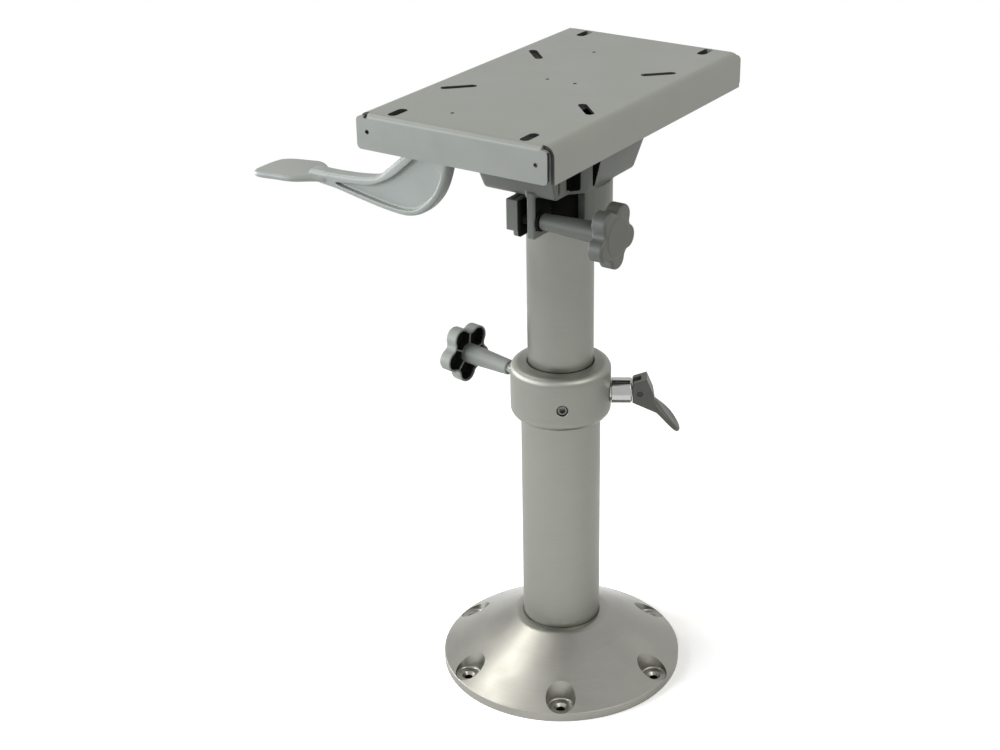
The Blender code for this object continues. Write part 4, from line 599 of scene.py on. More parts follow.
class Solid:
    """A piece in the making: a closed mesh in the row frame, and the steps that shape it."""

    def __init__(self, name: str, mesh: bpy.types.Mesh, place: Matrix | None = None) -> None:
        """Puts a mesh in the scene.

        Args:
            name: The piece's name.
            mesh: Its mesh.
            place: Where the mesh goes in the row frame.
        """
        if place is not None:
            mesh.transform(place)
        self.obj = bpy.data.objects.new(name, mesh)
        bpy.context.scene.collection.objects.link(self.obj)

    @classmethod
    def from_bmesh(cls, name: str, bm: bmesh.types.BMesh, place: Matrix | None = None) -> "Solid":
        """Closes a bmesh into a solid with its normals outwards.

        Args:
            name: The piece's name.
            bm: The bmesh, which is used up.
            place: Where the solid goes.

        Returns:
            The solid.
        """
        bmesh.ops.remove_doubles(bm, verts=bm.verts, dist=0.000002)
        bmesh.ops.recalc_face_normals(bm, faces=bm.faces)
        mesh = bpy.data.meshes.new(name)
        bm.to_mesh(mesh)
        bm.free()
        return cls(name, mesh, place)

    @classmethod
    def turned(
        cls, name: str, profile: Sequence[Point], steps: int = 96, place: Matrix | None = None
    ) -> "Solid":
        """Revolves a profile about Z.

        Args:
            name: The piece's name.
            profile: Radius and height pairs, which start and end on the axis or form a loop.
            steps: The number of sides.
            place: Where the solid goes.

        Returns:
            The solid.
        """
        bm = bmesh.new()
        open_line = profile[0][0] == 0 and profile[-1][0] == 0
        rings = []
        for radius, height in profile:
            ring = []
            for i in range(steps if radius else 1):
                angle = 2 * math.pi * i / steps
                ring.append(
                    bm.verts.new((radius * math.cos(angle), radius * math.sin(angle), height))
                )
            rings.append(ring)
        pairs = list(zip(rings, rings[1:]))
        if not open_line:
            pairs.append((rings[-1], rings[0]))
        for low, high in pairs:
            for i in range(steps):
                k = (i + 1) % steps
                corner = [low[i % len(low)], low[k % len(low)], high[k % len(high)]]
                corner.append(high[i % len(high)])
                unique = list(dict.fromkeys(corner))
                if len(unique) > 2:
                    bm.faces.new(unique)
        return cls.from_bmesh(name, bm, place)

    @classmethod
    def slab(
        cls,
        name: str,
        outlines: Sequence[Sequence[Point]],
        thickness: float,
        place: Matrix | None = None,
        edge: float = 0.0,
    ) -> "Solid":
        """Gives a flat outline, with its holes, a thickness about its plane.

        Args:
            name: The piece's name.
            outlines: The outer line first, then the holes.
            thickness: The whole thickness.
            place: Where the slab goes.
            edge: The radius that rounds every edge inside the outline.

        Returns:
            The solid.
        """
        curve = bpy.data.curves.new(name, "CURVE")
        curve.dimensions = "2D"
        curve.fill_mode = "BOTH"
        curve.extrude = thickness / 2 - edge
        curve.bevel_depth = edge
        curve.bevel_resolution = 4
        curve.offset = -edge
        for outline in outlines:
            spline = curve.splines.new("POLY")
            spline.points.add(len(outline) - 1)
            for point, (x, y) in zip(spline.points, outline):
                point.co = (x, y, 0, 1)
            spline.use_cyclic_u = True
        guide = bpy.data.objects.new(name, curve)
        bpy.context.scene.collection.objects.link(guide)
        graph = bpy.context.evaluated_depsgraph_get()
        mesh = bpy.data.meshes.new_from_object(guide.evaluated_get(graph))
        bpy.data.objects.remove(guide)
        bm = bmesh.new()
        bm.from_mesh(mesh)
        bpy.data.meshes.remove(mesh)
        return cls.from_bmesh(name, bm, place)

    @classmethod
    def lofted(
        cls,
        name: str,
        sections: Sequence[tuple[float, Sequence[Point]]],
        place: Matrix | None = None,
    ) -> "Solid":
        """Runs a skin through outlines that have equal numbers of points.

        Args:
            name: The piece's name.
            sections: Each outline with its height along Z.
            place: Where the solid goes.

        Returns:
            The solid, closed flat at both ends.
        """
        bm = bmesh.new()
        rings = [[bm.verts.new((x, y, height)) for x, y in line] for height, line in sections]
        for low, high in zip(rings, rings[1:]):
            for i, vert in enumerate(low):
                k = (i + 1) % len(low)
                bm.faces.new((vert, low[k], high[k], high[i]))
        bm.faces.new(rings[0])
        bm.faces.new(rings[-1])
        return cls.from_bmesh(name, bm, place)

    @classmethod
    def block(cls, name: str, low: Place, high: Place, place: Matrix | None = None) -> "Solid":
        """Makes a cutter or an inner block from its lowest and highest corners.

        Args:
            name: The piece's name.
            low: The corner with the lowest coordinates.
            high: The corner with the highest ones.
            place: Where the block goes.

        Returns:
            The solid.
        """
        bm = bmesh.new()
        bmesh.ops.create_cube(bm, size=1)
        for vert in bm.verts:
            vert.co = [low[i] if vert.co[i] < 0 else high[i] for i in range(3)]
        return cls.from_bmesh(name, bm, place)

    @classmethod
    def rod(
        cls,
        name: str,
        radius: float,
        start: float,
        end: float,
        steps: int = 48,
        place: Matrix | None = None,
        edge: float = 0.0,
    ) -> "Solid":
        """Makes a round bar along Z with rounded ends.

        Args:
            name: The piece's name.
            radius: The bar's radius.
            start: The lower end's height.
            end: The upper end's height.
            steps: The number of sides.
            place: Where the bar goes.
            edge: The radius that rounds its ends, or 0.

        Returns:
            The solid.
        """
        profile = [(0, start), (radius, start), (radius, end), (0, end)]
        if edge:
            profile = fillet(profile, {1: edge, 2: edge}, 4)
        return cls.turned(name, profile, steps, place)

    @classmethod
    def threaded(
        cls,
        name: str,
        radius: float,
        start: float,
        end: float,
        pitch: float,
        depth: float,
        place: Matrix | None = None,
    ) -> "Solid":
        """Makes a bar along Z with a helical thread.

        Args:
            name: The piece's name.
            radius: The thread's outer radius.
            start: The lower end's height.
            end: The upper end's height.
            pitch: The rise of one turn.
            depth: How deep the thread is cut.
            place: Where the bar goes.

        Returns:
            The solid.
        """
        steps, rows = 40, max(2, round((end - start) / pitch * 6))
        bm = bmesh.new()
        rings = []
        for row in range(rows + 1):
            height = start + (end - start) * row / rows
            fade = min(1.0, row / 4, (rows - row) / 4)
            ring = []
            for i in range(steps):
                phase = (height / pitch - i / steps) % 1.0
                cut = depth * abs(2 * phase - 1) * fade + 0.0006 * (1 - fade)
                angle = 2 * math.pi * i / steps
                reach = radius - cut
                ring.append(bm.verts.new((reach * math.cos(angle), reach * math.sin(angle), height)))
            rings.append(ring)
        for low, high in zip(rings, rings[1:]):
            for i in range(steps):
                k = (i + 1) % steps
                bm.faces.new((low[i], low[k], high[k], high[i]))
        bm.faces.new(rings[0])
        bm.faces.new(rings[-1])
        return cls.from_bmesh(name, bm, place)

    @classmethod
    def copy_of(cls, name: str, node: bpy.types.Object) -> "Solid":
        """Copies a frame node's mesh, with the vertices on its hard edges joined.

        Args:
            name: The new piece's name.
            node: The frame node.

        Returns:
            The solid.
        """
        bm = bmesh.new()
        bm.from_mesh(node.data)
        return cls.from_bmesh(name, bm)

    def combine(self, operation: str, tools: Sequence["Solid"]) -> "Solid":
        """Runs exact Booleans with other solids, which are used up.

        Args:
            operation: DIFFERENCE or UNION.
            tools: The other solids.

        Returns:
            This solid.
        """
        for tool in tools:
            modifier = self.obj.modifiers.new(tool.obj.name, "BOOLEAN")
            modifier.operation = operation
            modifier.object = tool.obj
        self.settle()
        for tool in tools:
            bpy.data.objects.remove(tool.obj)
        return self

    def cut(self, *tools: "Solid") -> "Solid":
        """Takes the tools out of this solid."""
        return self.combine("DIFFERENCE", tools)

    def join(self, *tools: "Solid") -> "Solid":
        """Joins the tools to this solid."""
        return self.combine("UNION", tools)

    def settle(self) -> "Solid":
        """Applies the modifiers to the mesh.

        Returns:
            This solid.
        """
        graph = bpy.context.evaluated_depsgraph_get()
        mesh = bpy.data.meshes.new_from_object(self.obj.evaluated_get(graph))
        self.obj.modifiers.clear()
        self.obj.data = mesh
        return self

    def soften(self, voxel_mm: float, passes: int, keep: float = 1.0) -> "Solid":
        """Rounds every edge as a mould or a thick coat does.

        Args:
            voxel_mm: The size of the new faces.
            passes: How many times the surface is evened out.
            keep: The share of faces that is kept where fewer will do.

        Returns:
            This solid.
        """
        remesh = self.obj.modifiers.new("remesh", "REMESH")
        remesh.mode = "VOXEL"
        remesh.voxel_size = voxel_mm * MM
        even = self.obj.modifiers.new("even", "SMOOTH")
        even.factor = 0.5
        even.iterations = passes
        if keep < 1:
            fewer = self.obj.modifiers.new("fewer", "DECIMATE")
            fewer.ratio = keep
        self.settle()
        self.obj.data.shade_smooth()
        return self

    def break_edges(self, width_mm: float, segments: int = 2, degrees: float = 35) -> "Solid":
        """Tidies flat faces, then rounds the hard edges a little.

        Args:
            width_mm: The width of the rounding.
            segments: The number of faces across it.
            degrees: Edges that turn more than this are rounded.

        Returns:
            This solid.
        """
        bm = bmesh.new()
        bm.from_mesh(self.obj.data)
        bmesh.ops.remove_doubles(bm, verts=bm.verts, dist=0.000005)
        bmesh.ops.dissolve_limit(
            bm, angle_limit=math.radians(0.4), verts=bm.verts, edges=bm.edges
        )
        bm.to_mesh(self.obj.data)
        bm.free()
        bevel = self.obj.modifiers.new("edges", "BEVEL")
        bevel.width = width_mm * MM
        bevel.segments = segments
        bevel.limit_method = "ANGLE"
        bevel.angle_limit = math.radians(degrees)
        bevel.use_clamp_overlap = True
        self.settle()
        return self.shade(degrees)

    def shade(self, degrees: float = 35) -> "Solid":
        """Shades faces smooth, except across hard edges, with large faces kept flat.

        Args:
            degrees: Edges that turn more than this stay hard.

        Returns:
            This solid.
        """
        self.obj.data.shade_smooth()
        self.obj.data.set_sharp_from_angle(angle=math.radians(degrees))
        weigh = self.obj.modifiers.new("flat_faces", "WEIGHTED_NORMAL")
        weigh.keep_sharp = True
        self.settle()
        return self


@dataclass
class Workshop:
    """What every sub-assembly needs: the frame, the finishes and a list of what was made."""

    frame: dict[str, Any]
    wardrobe: Wardrobe
    made: list[str] = field(default_factory=list)

    def node(self, name: str) -> bpy.types.Object:
        """Finds a node of the frame."""
        return self.frame["nodes"][name]

    def add(
        self, solid: Solid, slot: str, body: str, *nodes: str, look: str = ""
    ) -> bpy.types.Object:
        """Dresses a finished solid, puts it on its body and hides what it stands for.

        Args:
            solid: The finished piece.
            slot: The record's material slot.
            body: The body that carries it.
            nodes: The frame nodes that it replaces.
            look: The name of the finish where it isn't the slot's own.

        Returns:
            The piece's object.
        """
        self.wardrobe.dress(solid.obj, slot, look)
        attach(solid.obj, body)
        if nodes:
            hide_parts(*nodes)
        self.made.append(solid.obj.name)
        LOG.info("made %s, %d faces", solid.obj.name, len(solid.obj.data.polygons))
        return solid.obj

    def smooth_nodes(self, width_mm: float, *names: str, look: str = "") -> None:
        """Breaks the edges of frame nodes that stay in sight.

        Args:
            width_mm: The width of the edges' rounding.
            names: The frame nodes.
            look: The name of the finish where it isn't their slots' own.
        """
        for name in names:
            node = self.node(name)
            if look:
                for holder in node.material_slots:
                    holder.material = self.wardrobe.materials[look]
            node.data.shade_smooth()
            weld = node.modifiers.new("weld", "WELD")
            weld.merge_threshold = 0.000005
            bevel = node.modifiers.new("edges", "BEVEL")
            bevel.width = width_mm * MM
            bevel.segments = 2
            bevel.limit_method = "ANGLE"
            bevel.angle_limit = math.radians(35)
            weigh = node.modifiers.new("flat_faces", "WEIGHTED_NORMAL")
            weigh.keep_sharp = False


# Base and post


@dataclass
class Base:
    """The turned cone base with its six countersunk screw holes."""

    radius: float = 0.1143
    rim: float = 0.0085
    height: float = 0.052
    land: float = 0.042
    crown: float = 0.016
    socket: float = 0.0368
    floor: float = 0.004
    foot: float = 0.0843
    hub: float = 0.044
    wall: float = 0.006
    screw_circle: float = 0.102
    first_screw: float = 1.2
    spotface: float = 0.0148
    spotface_height: float = 0.0078
    spotface_middle: float = 0.0195
    spotface_draft: float = 0.23
    spotface_fillet: float = 0.0020
    countersink: float = 0.0063
    countersink_depth: float = 0.0024
    screw_hole: float = 0.0039
    recess_top: float = 0.06
    rib_foot: float = 0.003
    rib_width: float = 0.005
    foot_draft: float = 0.002
    socket_edge: float = 0.0003
    rim_edges: Point = (0.0009, 0.0006)

    def roof(self, radius: float) -> float:
        """Height of the hollow underside at a radius."""
        slope = (self.height - self.rim) / (self.radius - self.land)
        return self.rim + (self.radius - radius) * slope - self.wall

    def build(self, shop: Workshop) -> None:
        """Turns the cone, then adds the ribs below and sinks the screw holes.

        Args:
            shop: The frame, the finishes and the list of pieces.
        """
        profile = [
            (0, self.floor),
            (self.socket, self.floor),
            (self.socket, self.height),
            (self.land, self.height),
            (self.radius, self.rim),
            (self.radius, 0),
            (self.foot, 0),
            (self.foot - self.foot_draft, self.roof(self.foot)),
            (self.hub, self.roof(self.hub)),
            (self.hub, 0),
            (0, 0),
        ]
        upper, lower = self.rim_edges
        radii = {2: self.socket_edge, 3: self.crown, 4: upper, 5: lower}
        rounded = fillet(profile, radii, 10)
        cone = Solid.turned("cone_base", rounded, 180)
        ribs, holes = [], []
        for i in range(6):
            angle = self.first_screw + 60 * i
            ribs.append(self.rib(i, angle + 30))
            holes.append(self.screw_recess(i, angle))
        cone.join(*ribs).cut(*holes).shade(28)
        shop.add(cone, "spun_aluminium", "base", "base_flange")
        # Painted shade: the screw holes' walls get a near-black finish for the shade inside them
        shop.wardrobe.tint(cone.obj, "painted_shade_casting", self.is_shaded_hole)

    def is_shaded_hole(self, centre: Vector, normal: Vector) -> bool:
        """Tells the walls of the screw holes below their countersinks, which get a near-black painted
        shade.

        Args:
            centre: The face's centre.
            normal: Its normal, which isn't used here.

        Returns:
            True on a hole's wall.
        """
        if centre.z > self.spotface_height - self.countersink_depth - 0.0002:
            return False
        step = math.radians(60)
        first = math.radians(self.first_screw)
        angle = round((math.atan2(centre.y, centre.x) - first) / step) * step + first
        axis = Vector((math.cos(angle), math.sin(angle))) * self.screw_circle
        return abs((centre.xy - axis).length - self.screw_hole) < 0.0003

    def spotface_wall(self, height: float) -> float:
        """Radius of a spot-face's drafted wall at a height."""
        return self.spotface + (height - self.spotface_middle) * self.spotface_draft

    def rib(self, number: int, angle: float) -> Solid:
        """Makes one rib of the hollow underside.

        Args:
            number: The rib's number.
            angle: Its direction, in degrees.

        Returns:
            The solid.
        """
        low, high = self.hub - SINK, self.foot + SINK
        line = [(low, self.rib_foot), (high, self.rib_foot), (high, self.roof(self.foot) + SINK)]
        line.append((low, self.roof(self.hub) + SINK))
        return Solid.slab(f"rib_{number}", [line], self.rib_width, turn(angle, "Z") @ FACING_Y)

    def screw_recess(self, number: int, angle: float) -> Solid:
        """Makes the cutter of one spot-face, countersink and hole.

        Args:
            number: The hole's number.
            angle: Its direction, in degrees.

        Returns:
            The solid.
        """
        sink = self.spotface_height - self.countersink_depth
        profile = [
            (0, self.recess_top),
            (self.spotface_wall(self.recess_top), self.recess_top),
            (self.spotface_wall(self.spotface_height), self.spotface_height),
            (self.countersink, self.spotface_height),
            (self.screw_hole, sink),
            (self.screw_hole, -OVERRUN),
            (0, -OVERRUN),
        ]
        profile = fillet(profile, {2: self.spotface_fillet, 3: self.socket_edge}, 10)
        place = turn(angle, "Z") @ shift(self.screw_circle)
        return Solid.turned(f"screw_recess_{number}", profile, 56, place)


@dataclass
class Tubes:
    """The two tubes of the post and the nylon sleeve on the inner one."""

    outer: float = 0.0365
    inner: float = 0.030
    wall: float = 0.003
    outer_ends: Point = (0.0043, 0.300)
    inner_ends: Point = (0.143, 0.528)
    sleeve: float = 0.0332
    sleeve_ends: Point = (0.4535, 0.528)
    sleeve_gap: float = 0.0003
    edge: float = 0.0006
    sleeve_edge: float = 0.0005
    row: float = 0.034
    pin_way: tuple[float, float, float] = (30.5, 0.286, 0.0065)
    pad_way: tuple[float, float, float] = (171.5, 0.2898, 0.0055)

    def tube(self, name: str, bore: float, radius: float, ends: Point, edge: float) -> Solid:
        """Turns one tube with its edges broken, and a row that keeps cuts near its upper end.

        Args:
            name: The piece's name.
            bore: The inner radius.
            radius: The outer radius.
            ends: The heights of both ends.
            edge: The radius that breaks the outer edges.

        Returns:
            The solid.
        """
        low, high = ends
        row = high - self.row
        profile = [(bore, high), (radius, high), (radius, row), (radius, low), (bore, low)]
        profile = fillet(profile, {1: edge, 3: edge}, 4) + [(bore, row)]
        return Solid.turned(name, profile, 128).shade(28)

    def way(self, name: str, angle: float, height: float, radius: float) -> Solid:
        """Makes the cutter of a round hole through one side of the outer tube."""
        place = shift(z=height) @ turn(angle, "Z") @ ALONG_X
        return Solid.rod(name, radius, self.inner, self.outer + self.wall, 48, place)

    def build(self, shop: Workshop) -> None:
        """Makes both tubes and the sleeve.

        Args:
            shop: The frame, the finishes and the list of pieces.
        """
        outer = self.tube(
            "lower_tube", self.outer - self.wall, self.outer, self.outer_ends, self.edge
        )
        outer.cut(self.way("pin_way", *self.pin_way), self.way("pad_way", *self.pad_way)).shade(28)
        shop.add(outer, "tube_aluminium", "base", "outer_tube")
        inner = self.tube(
            "upper_tube", self.inner - self.wall, self.inner, self.inner_ends, self.edge
        )
        shop.add(inner, "tube_aluminium", "post", "inner_tube")
        bore = self.inner + self.sleeve_gap
        sleeve = self.tube(
            "tube_sleeve", bore, self.sleeve, self.sleeve_ends, self.sleeve_edge
        )
        shop.add(sleeve, "black_nylon", "post", "swivel_sleeve")


@dataclass
class Collar:
    """The turned collar with its set screws."""

    radius: float = 0.046
    bottom: float = 0.264
    top: float = 0.3165
    crown: float = 0.008
    lip: float = 0.031
    shelf: float = 0.3003
    socket: float = 0.0368
    tube: float = 0.0365
    step: float = 0.0012
    row: float = 0.003
    screw_angles: tuple[float, float] = (-56.5, 123.5)
    screw_height: float = 0.2865
    screw_radius: float = 0.005
    screw_sink: float = 0.0012
    screw_gap: float = 0.0003
    screw_seat: float = 0.0004
    screw_chamfer: Point = (0.0009, 0.0008)
    key_radius: float = 0.0029
    key_depth: float = 0.004
    mouth: float = 0.0012
    mouth_depths: Point = (0.0004, 0.0008)
    way_ends: Point = (0.02, 0.06)
    pin: tuple[float, float, float] = (30.5, 0.286, 0.0093)
    knob: tuple[float, float, float] = (171.5, 0.2898, 0.0053)

    def hole(self, name: str, angle: float, height: float, radius: float) -> Solid:
        """Makes the cutter of a hole through the wall, with its mouth broken.

        Args:
            name: The cutter's name.
            angle: The hole's direction, in degrees.
            height: The height of its middle.
            radius: Its radius.

        Returns:
            The solid.
        """
        start, end = self.way_ends
        inner, outer = self.radius - self.mouth_depths[0], self.radius + self.mouth_depths[1]
        wide = radius + self.mouth
        profile = [(0, start), (radius, start), (radius, inner), (wide, outer)]
        profile += [(wide, end), (0, end)]
        return Solid.turned(name, profile, 48, shift(z=height) @ turn(angle, "Z") @ ALONG_X)

    def build(self, shop: Workshop) -> None:
        """Turns the collar, drills it and fits the set screws.

        Args:
            shop: The frame, the finishes and the list of pieces.
        """
        foot = self.radius - self.tube - self.step
        profile = [(self.lip, self.top)]
        profile += arc((self.radius - self.crown, self.top - self.crown), self.crown, 90, 0, 14)
        high, low = self.top - self.crown, self.bottom + foot
        rows = round((high - low) / self.row)
        profile += [(self.radius, high + (low - high) * i / rows) for i in range(1, rows)]
        profile += arc((self.radius - foot, low), foot, 0, -90, 14)
        profile += [(self.socket, self.bottom), (self.socket, self.shelf), (self.lip, self.shelf)]
        collar = Solid.turned("lock_collar", profile, 128)
        cutters = [self.hole("pin_way", *self.pin), self.hole("knob_way", *self.knob)]
        for i, angle in enumerate(self.screw_angles):
            radius = self.screw_radius + self.screw_gap
            cutters.append(self.hole(f"screw_way_{i}", angle, self.screw_height, radius))
        collar.cut(*cutters).shade(28)
        shop.add(collar, "collar_aluminium", "base", "collar")
        # Painted shade: the bore and the lip get a black finish for the dark gap round the tube
        shop.wardrobe.tint(collar.obj, "painted_shade_black", self.is_bore)
        for name, angle in zip(("front", "back"), self.screw_angles):
            screw = self.set_screw(f"socket_screw_{name}", angle)
            shop.add(screw, "socket_screw_steel", "base", f"set_screw_{name}")

    def is_bore(self, centre: Vector, normal: Vector) -> bool:
        """Tells the faces of the collar's bore and lip, which get a black painted shade for the dark gap
        round the tube.

        Args:
            centre: The face's centre.
            normal: Its normal.

        Returns:
            True in the bore.
        """
        return centre.xy.length < self.lip + 0.0004 or (
            normal.dot(Vector((centre.x, centre.y, 0))) < 0 and centre.xy.length < self.tube + MM
        )

    def set_screw(self, name: str, angle: float) -> Solid:
        """Makes a set screw with a chamfered end and a hexagon socket.

        Args:
            name: The piece's name.
            angle: The screw's direction, in degrees.

        Returns:
            The solid.
        """
        place = shift(z=self.screw_height) @ turn(angle, "Z") @ ALONG_X
        inner, outer = self.tube + self.screw_seat, self.radius - self.screw_sink
        across, along = self.screw_chamfer
        profile = [
            (0, inner),
            (self.screw_radius, inner),
            (self.screw_radius, outer - along),
            (self.screw_radius - across, outer),
            (0, outer),
        ]
        screw = Solid.turned(name, profile, 40, place)
        key = Solid.slab(
            f"{name}_socket",
            [circle((0, 0), self.key_radius, 6)],
            2 * self.key_depth,
            place @ shift(z=outer),
        )
        return screw.cut(key).break_edges(0.15, 2)


# Knobs


@dataclass
class StarKnob:
    """A moulded five-lobe knob on a tapered stem, hollow at its back."""

    name: str
    place: Matrix
    slot: str
    body: str
    node: str
    stem_start: float
    stem_length: float
    lobes: int = 5
    radius: float = 0.0288
    lobe: float = 0.0104
    valley: float = 0.0058
    thickness: float = 0.014
    face: float = 0.003
    wall: float = 0.002
    rib: float = 0.0014
    root: float = 0.0095
    end: float = 0.0072
    shank: float = 0.004
    edge: float = 0.0024
    rim_depth: float = 0.0022
    crown: float = 0.0172
    crown_rise: float = 0.0005
    bore: float = 0.0053
    bore_depth: float = 0.0283
    tip: Point = (0.0008, 0.0012)
    disc_edge: float = 0.0005
    floor_band: float = 0.0006

    def outline(self, inset: float = 0.0) -> list[Point]:
        """Draws round lobes joined by hollow arcs, the whole line moved inwards.

        Args:
            inset: How far the line lies inside the knob's own outline.

        Returns:
            The closed outline.
        """
        reach = self.radius - self.lobe
        half = math.pi / self.lobes
        rise = math.sqrt((self.lobe + self.valley) ** 2 - (reach * math.sin(half)) ** 2)
        valley_reach = reach * math.cos(half) + rise
        lean = math.degrees(math.atan2(reach * math.sin(half), rise))
        points: list[Point] = []
        for i in range(self.lobes):
            degrees = 360 * i / self.lobes
            lobe = math.radians(degrees)
            centre = (reach * math.cos(lobe), reach * math.sin(lobe))
            meet = 180 / self.lobes + lean
            points += arc(centre, self.lobe - inset, degrees - meet, degrees + meet, 20)[:-1]
            hollow = lobe + half
            centre = (valley_reach * math.cos(hollow), valley_reach * math.sin(hollow))
            middle = math.degrees(hollow) + 180
            points += arc(centre, self.valley + inset, middle + lean, middle - lean, 8)[:-1]
        return points

    def cup(self, back: float) -> list[tuple[float, list[Point]]]:
        """Lists the star's sections: the hollow's floor and wall, the rim, the side and the face.

        Args:
            back: The distance of the rim along the knob's axis.

        Returns:
            Each section's distance along the axis, with its outline.
        """
        rim = self.wall / 2
        front = back + self.thickness - self.crown_rise
        sections = [(front - self.face, self.outline(self.wall))]
        for height, inset in arc((back + rim, rim), rim, 90, 270, 6):
            sections.append((height, self.outline(max(0.0, inset))))
        for height, inset in arc((front - self.edge, self.edge), self.edge, -90, 0, 5):
            sections.append((height, self.outline(inset)))
        return sections

    def build(self, shop: Workshop) -> None:
        """Lofts the star, adds its ribs and stem and rounds it all as a mould would.

        Args:
            shop: The frame, the finishes and the list of pieces.
        """
        back = self.stem_start + self.stem_length
        along = self.place @ ALONG_X
        star = Solid.lofted(self.name, self.cup(back), along)
        front = back + self.thickness
        floor = front - self.crown_rise - self.face
        inner = self.radius - self.lobe + SINK
        ribs = [
            Solid.block(
                f"{self.name}_rib_{i}",
                (self.end, -self.rib / 2, back + SINK),
                (inner, self.rib / 2, floor + SINK),
                along @ turn(360 * (i + 0.5) / self.lobes, "Z"),
            )
            for i in range(self.lobes)
        ]
        tip_in, tip_along = self.tip
        stem = Solid.turned(
            f"{self.name}_stem",
            [
                (0, floor + SINK),
                (self.root, floor + SINK),
                (self.root, back - self.shank),
                (self.end, self.stem_start + tip_along),
                (self.end - tip_in, self.stem_start),
                (0, self.stem_start),
            ],
            64,
            along,
        )
        disc = Solid.rod(
            f"{self.name}_disc", self.crown, floor + SINK, front, 96, along, self.disc_edge
        )
        bore_end = self.stem_start + self.bore_depth
        bore = Solid.rod(
            f"{self.name}_bore", self.bore, self.stem_start - OVERRUN, bore_end, 40, along
        )
        star.join(*ribs, stem, disc).cut(bore).soften(0.4, 2, 0.45)
        shop.add(star, self.slot, self.body, self.node)
        to_knob = along.inverted()

        def in_shaded_hollow(centre: Vector, normal: Vector) -> bool:
            """Tells the hollow's floor and walls, and what stands in it, from the rim, which take a
            near-black painted shade.

            Args:
                centre: The face's centre.
                normal: Its normal.

            Returns:
                True in the hollow.
            """
            x, y, height = to_knob @ centre
            facing = to_knob.to_3x3() @ normal
            deep = back + self.rim_depth < height < floor + self.floor_band
            return deep and self.holds(x, y, facing)

        # Painted shade: the hollow and the stem's root in it get a near-black finish for the shade inside
        # the cup
        shop.wardrobe.tint(star.obj, "painted_shade_nylon", in_shaded_hollow)

    def holds(self, x: float, y: float, facing: Vector) -> bool:
        """Tells whether a face seen along the axis lies in the hollow or looks into it.

        Args:
            x: The face's place across the knob's axis.
            y: Its place square to that.
            facing: Its normal in the knob's own frame.

        Returns:
            True in the hollow.
        """
        reach = self.radius - self.lobe
        inset = self.wall / 2
        half = math.pi / self.lobes
        nearest = round(math.atan2(y, x) / (2 * half)) * 2 * half
        arm = Vector((x - reach * math.cos(nearest), y - reach * math.sin(nearest)))
        rise = math.sqrt((self.lobe + self.valley) ** 2 - (reach * math.sin(half)) ** 2)
        waist = reach * math.cos(half) + rise - self.valley
        if arm.length < self.lobe - inset or math.hypot(x, y) < waist - inset:
            return True
        return arm.dot(facing.xy) < 0 and abs(facing.z) < 0.5


@dataclass
class Knobs:
    """Both star knobs, their screws and the clamp's washer."""

    lock_angle: float = 171.5
    lock_height: float = 0.2898
    lock_turn: float = 9.0
    lock_screw: Point = (0.0346, 0.0895)
    clamp_place: Place = (0.0, -0.050, 0.468)
    clamp_turn: float = 3.0
    clamp_bolt: Point = (-0.0178, 0.0416)
    screw_radius: float = 0.005
    pitch: float = 0.0015
    thread_depth: float = 0.0008
    washer: tuple[float, float, float] = (0.0115, 0.0133, 0.009)
    washer_bore: float = 0.0053
    washer_edge: float = 0.0003

    def build(self, shop: Workshop) -> None:
        """Makes the two knobs and what they turn.

        Args:
            shop: The frame, the finishes and the list of pieces.
        """
        lock = shift(z=self.lock_height) @ turn(self.lock_angle, "Z") @ turn(self.lock_turn, "X")
        clamp = shift(*self.clamp_place) @ turn(self.clamp_turn, "X")
        StarKnob(
            "star_knob_lower", lock, "knob_plastic", "lock_knob_body", "lock_knob", 0.0615, 0.0515
        ).build(shop)
        StarKnob(
            "star_knob_upper",
            clamp,
            "knob_plastic_dark",
            "clamp_knob_body",
            "clamp_knob",
            0.0136,
            0.0605,
        ).build(shop)
        # Painted shade: the clamp's stud, down in the slit, takes the near-black shade finish in place of
        # zinc
        for name, place, ends, body, node, look in (
            ("knob_stud", lock, self.lock_screw, "lock_knob_body", "lock_screw", "zinc_steel"),
            ("clamp_stud", clamp, self.clamp_bolt, "clamp_knob_body", "clamp_bolt", "painted_shade_nylon"),
        ):
            stud = Solid.threaded(
                name, self.screw_radius, *ends, self.pitch, self.thread_depth, place @ ALONG_X
            )
            shop.add(stud.shade(50), "zinc_steel", body, node, look=look)
        low, high, radius = self.washer
        bore, edge = self.washer_bore, self.washer_edge
        profile = fillet([(bore, high), (radius, high), (radius, low), (bore, low)], {1: edge, 2: edge}, 3)
        ring = Solid.turned("knob_washer", profile, 64, clamp @ ALONG_X)
        shop.add(ring.shade(), "black_nylon", "clamp_washer_body", "clamp_washer")


# Lock pin


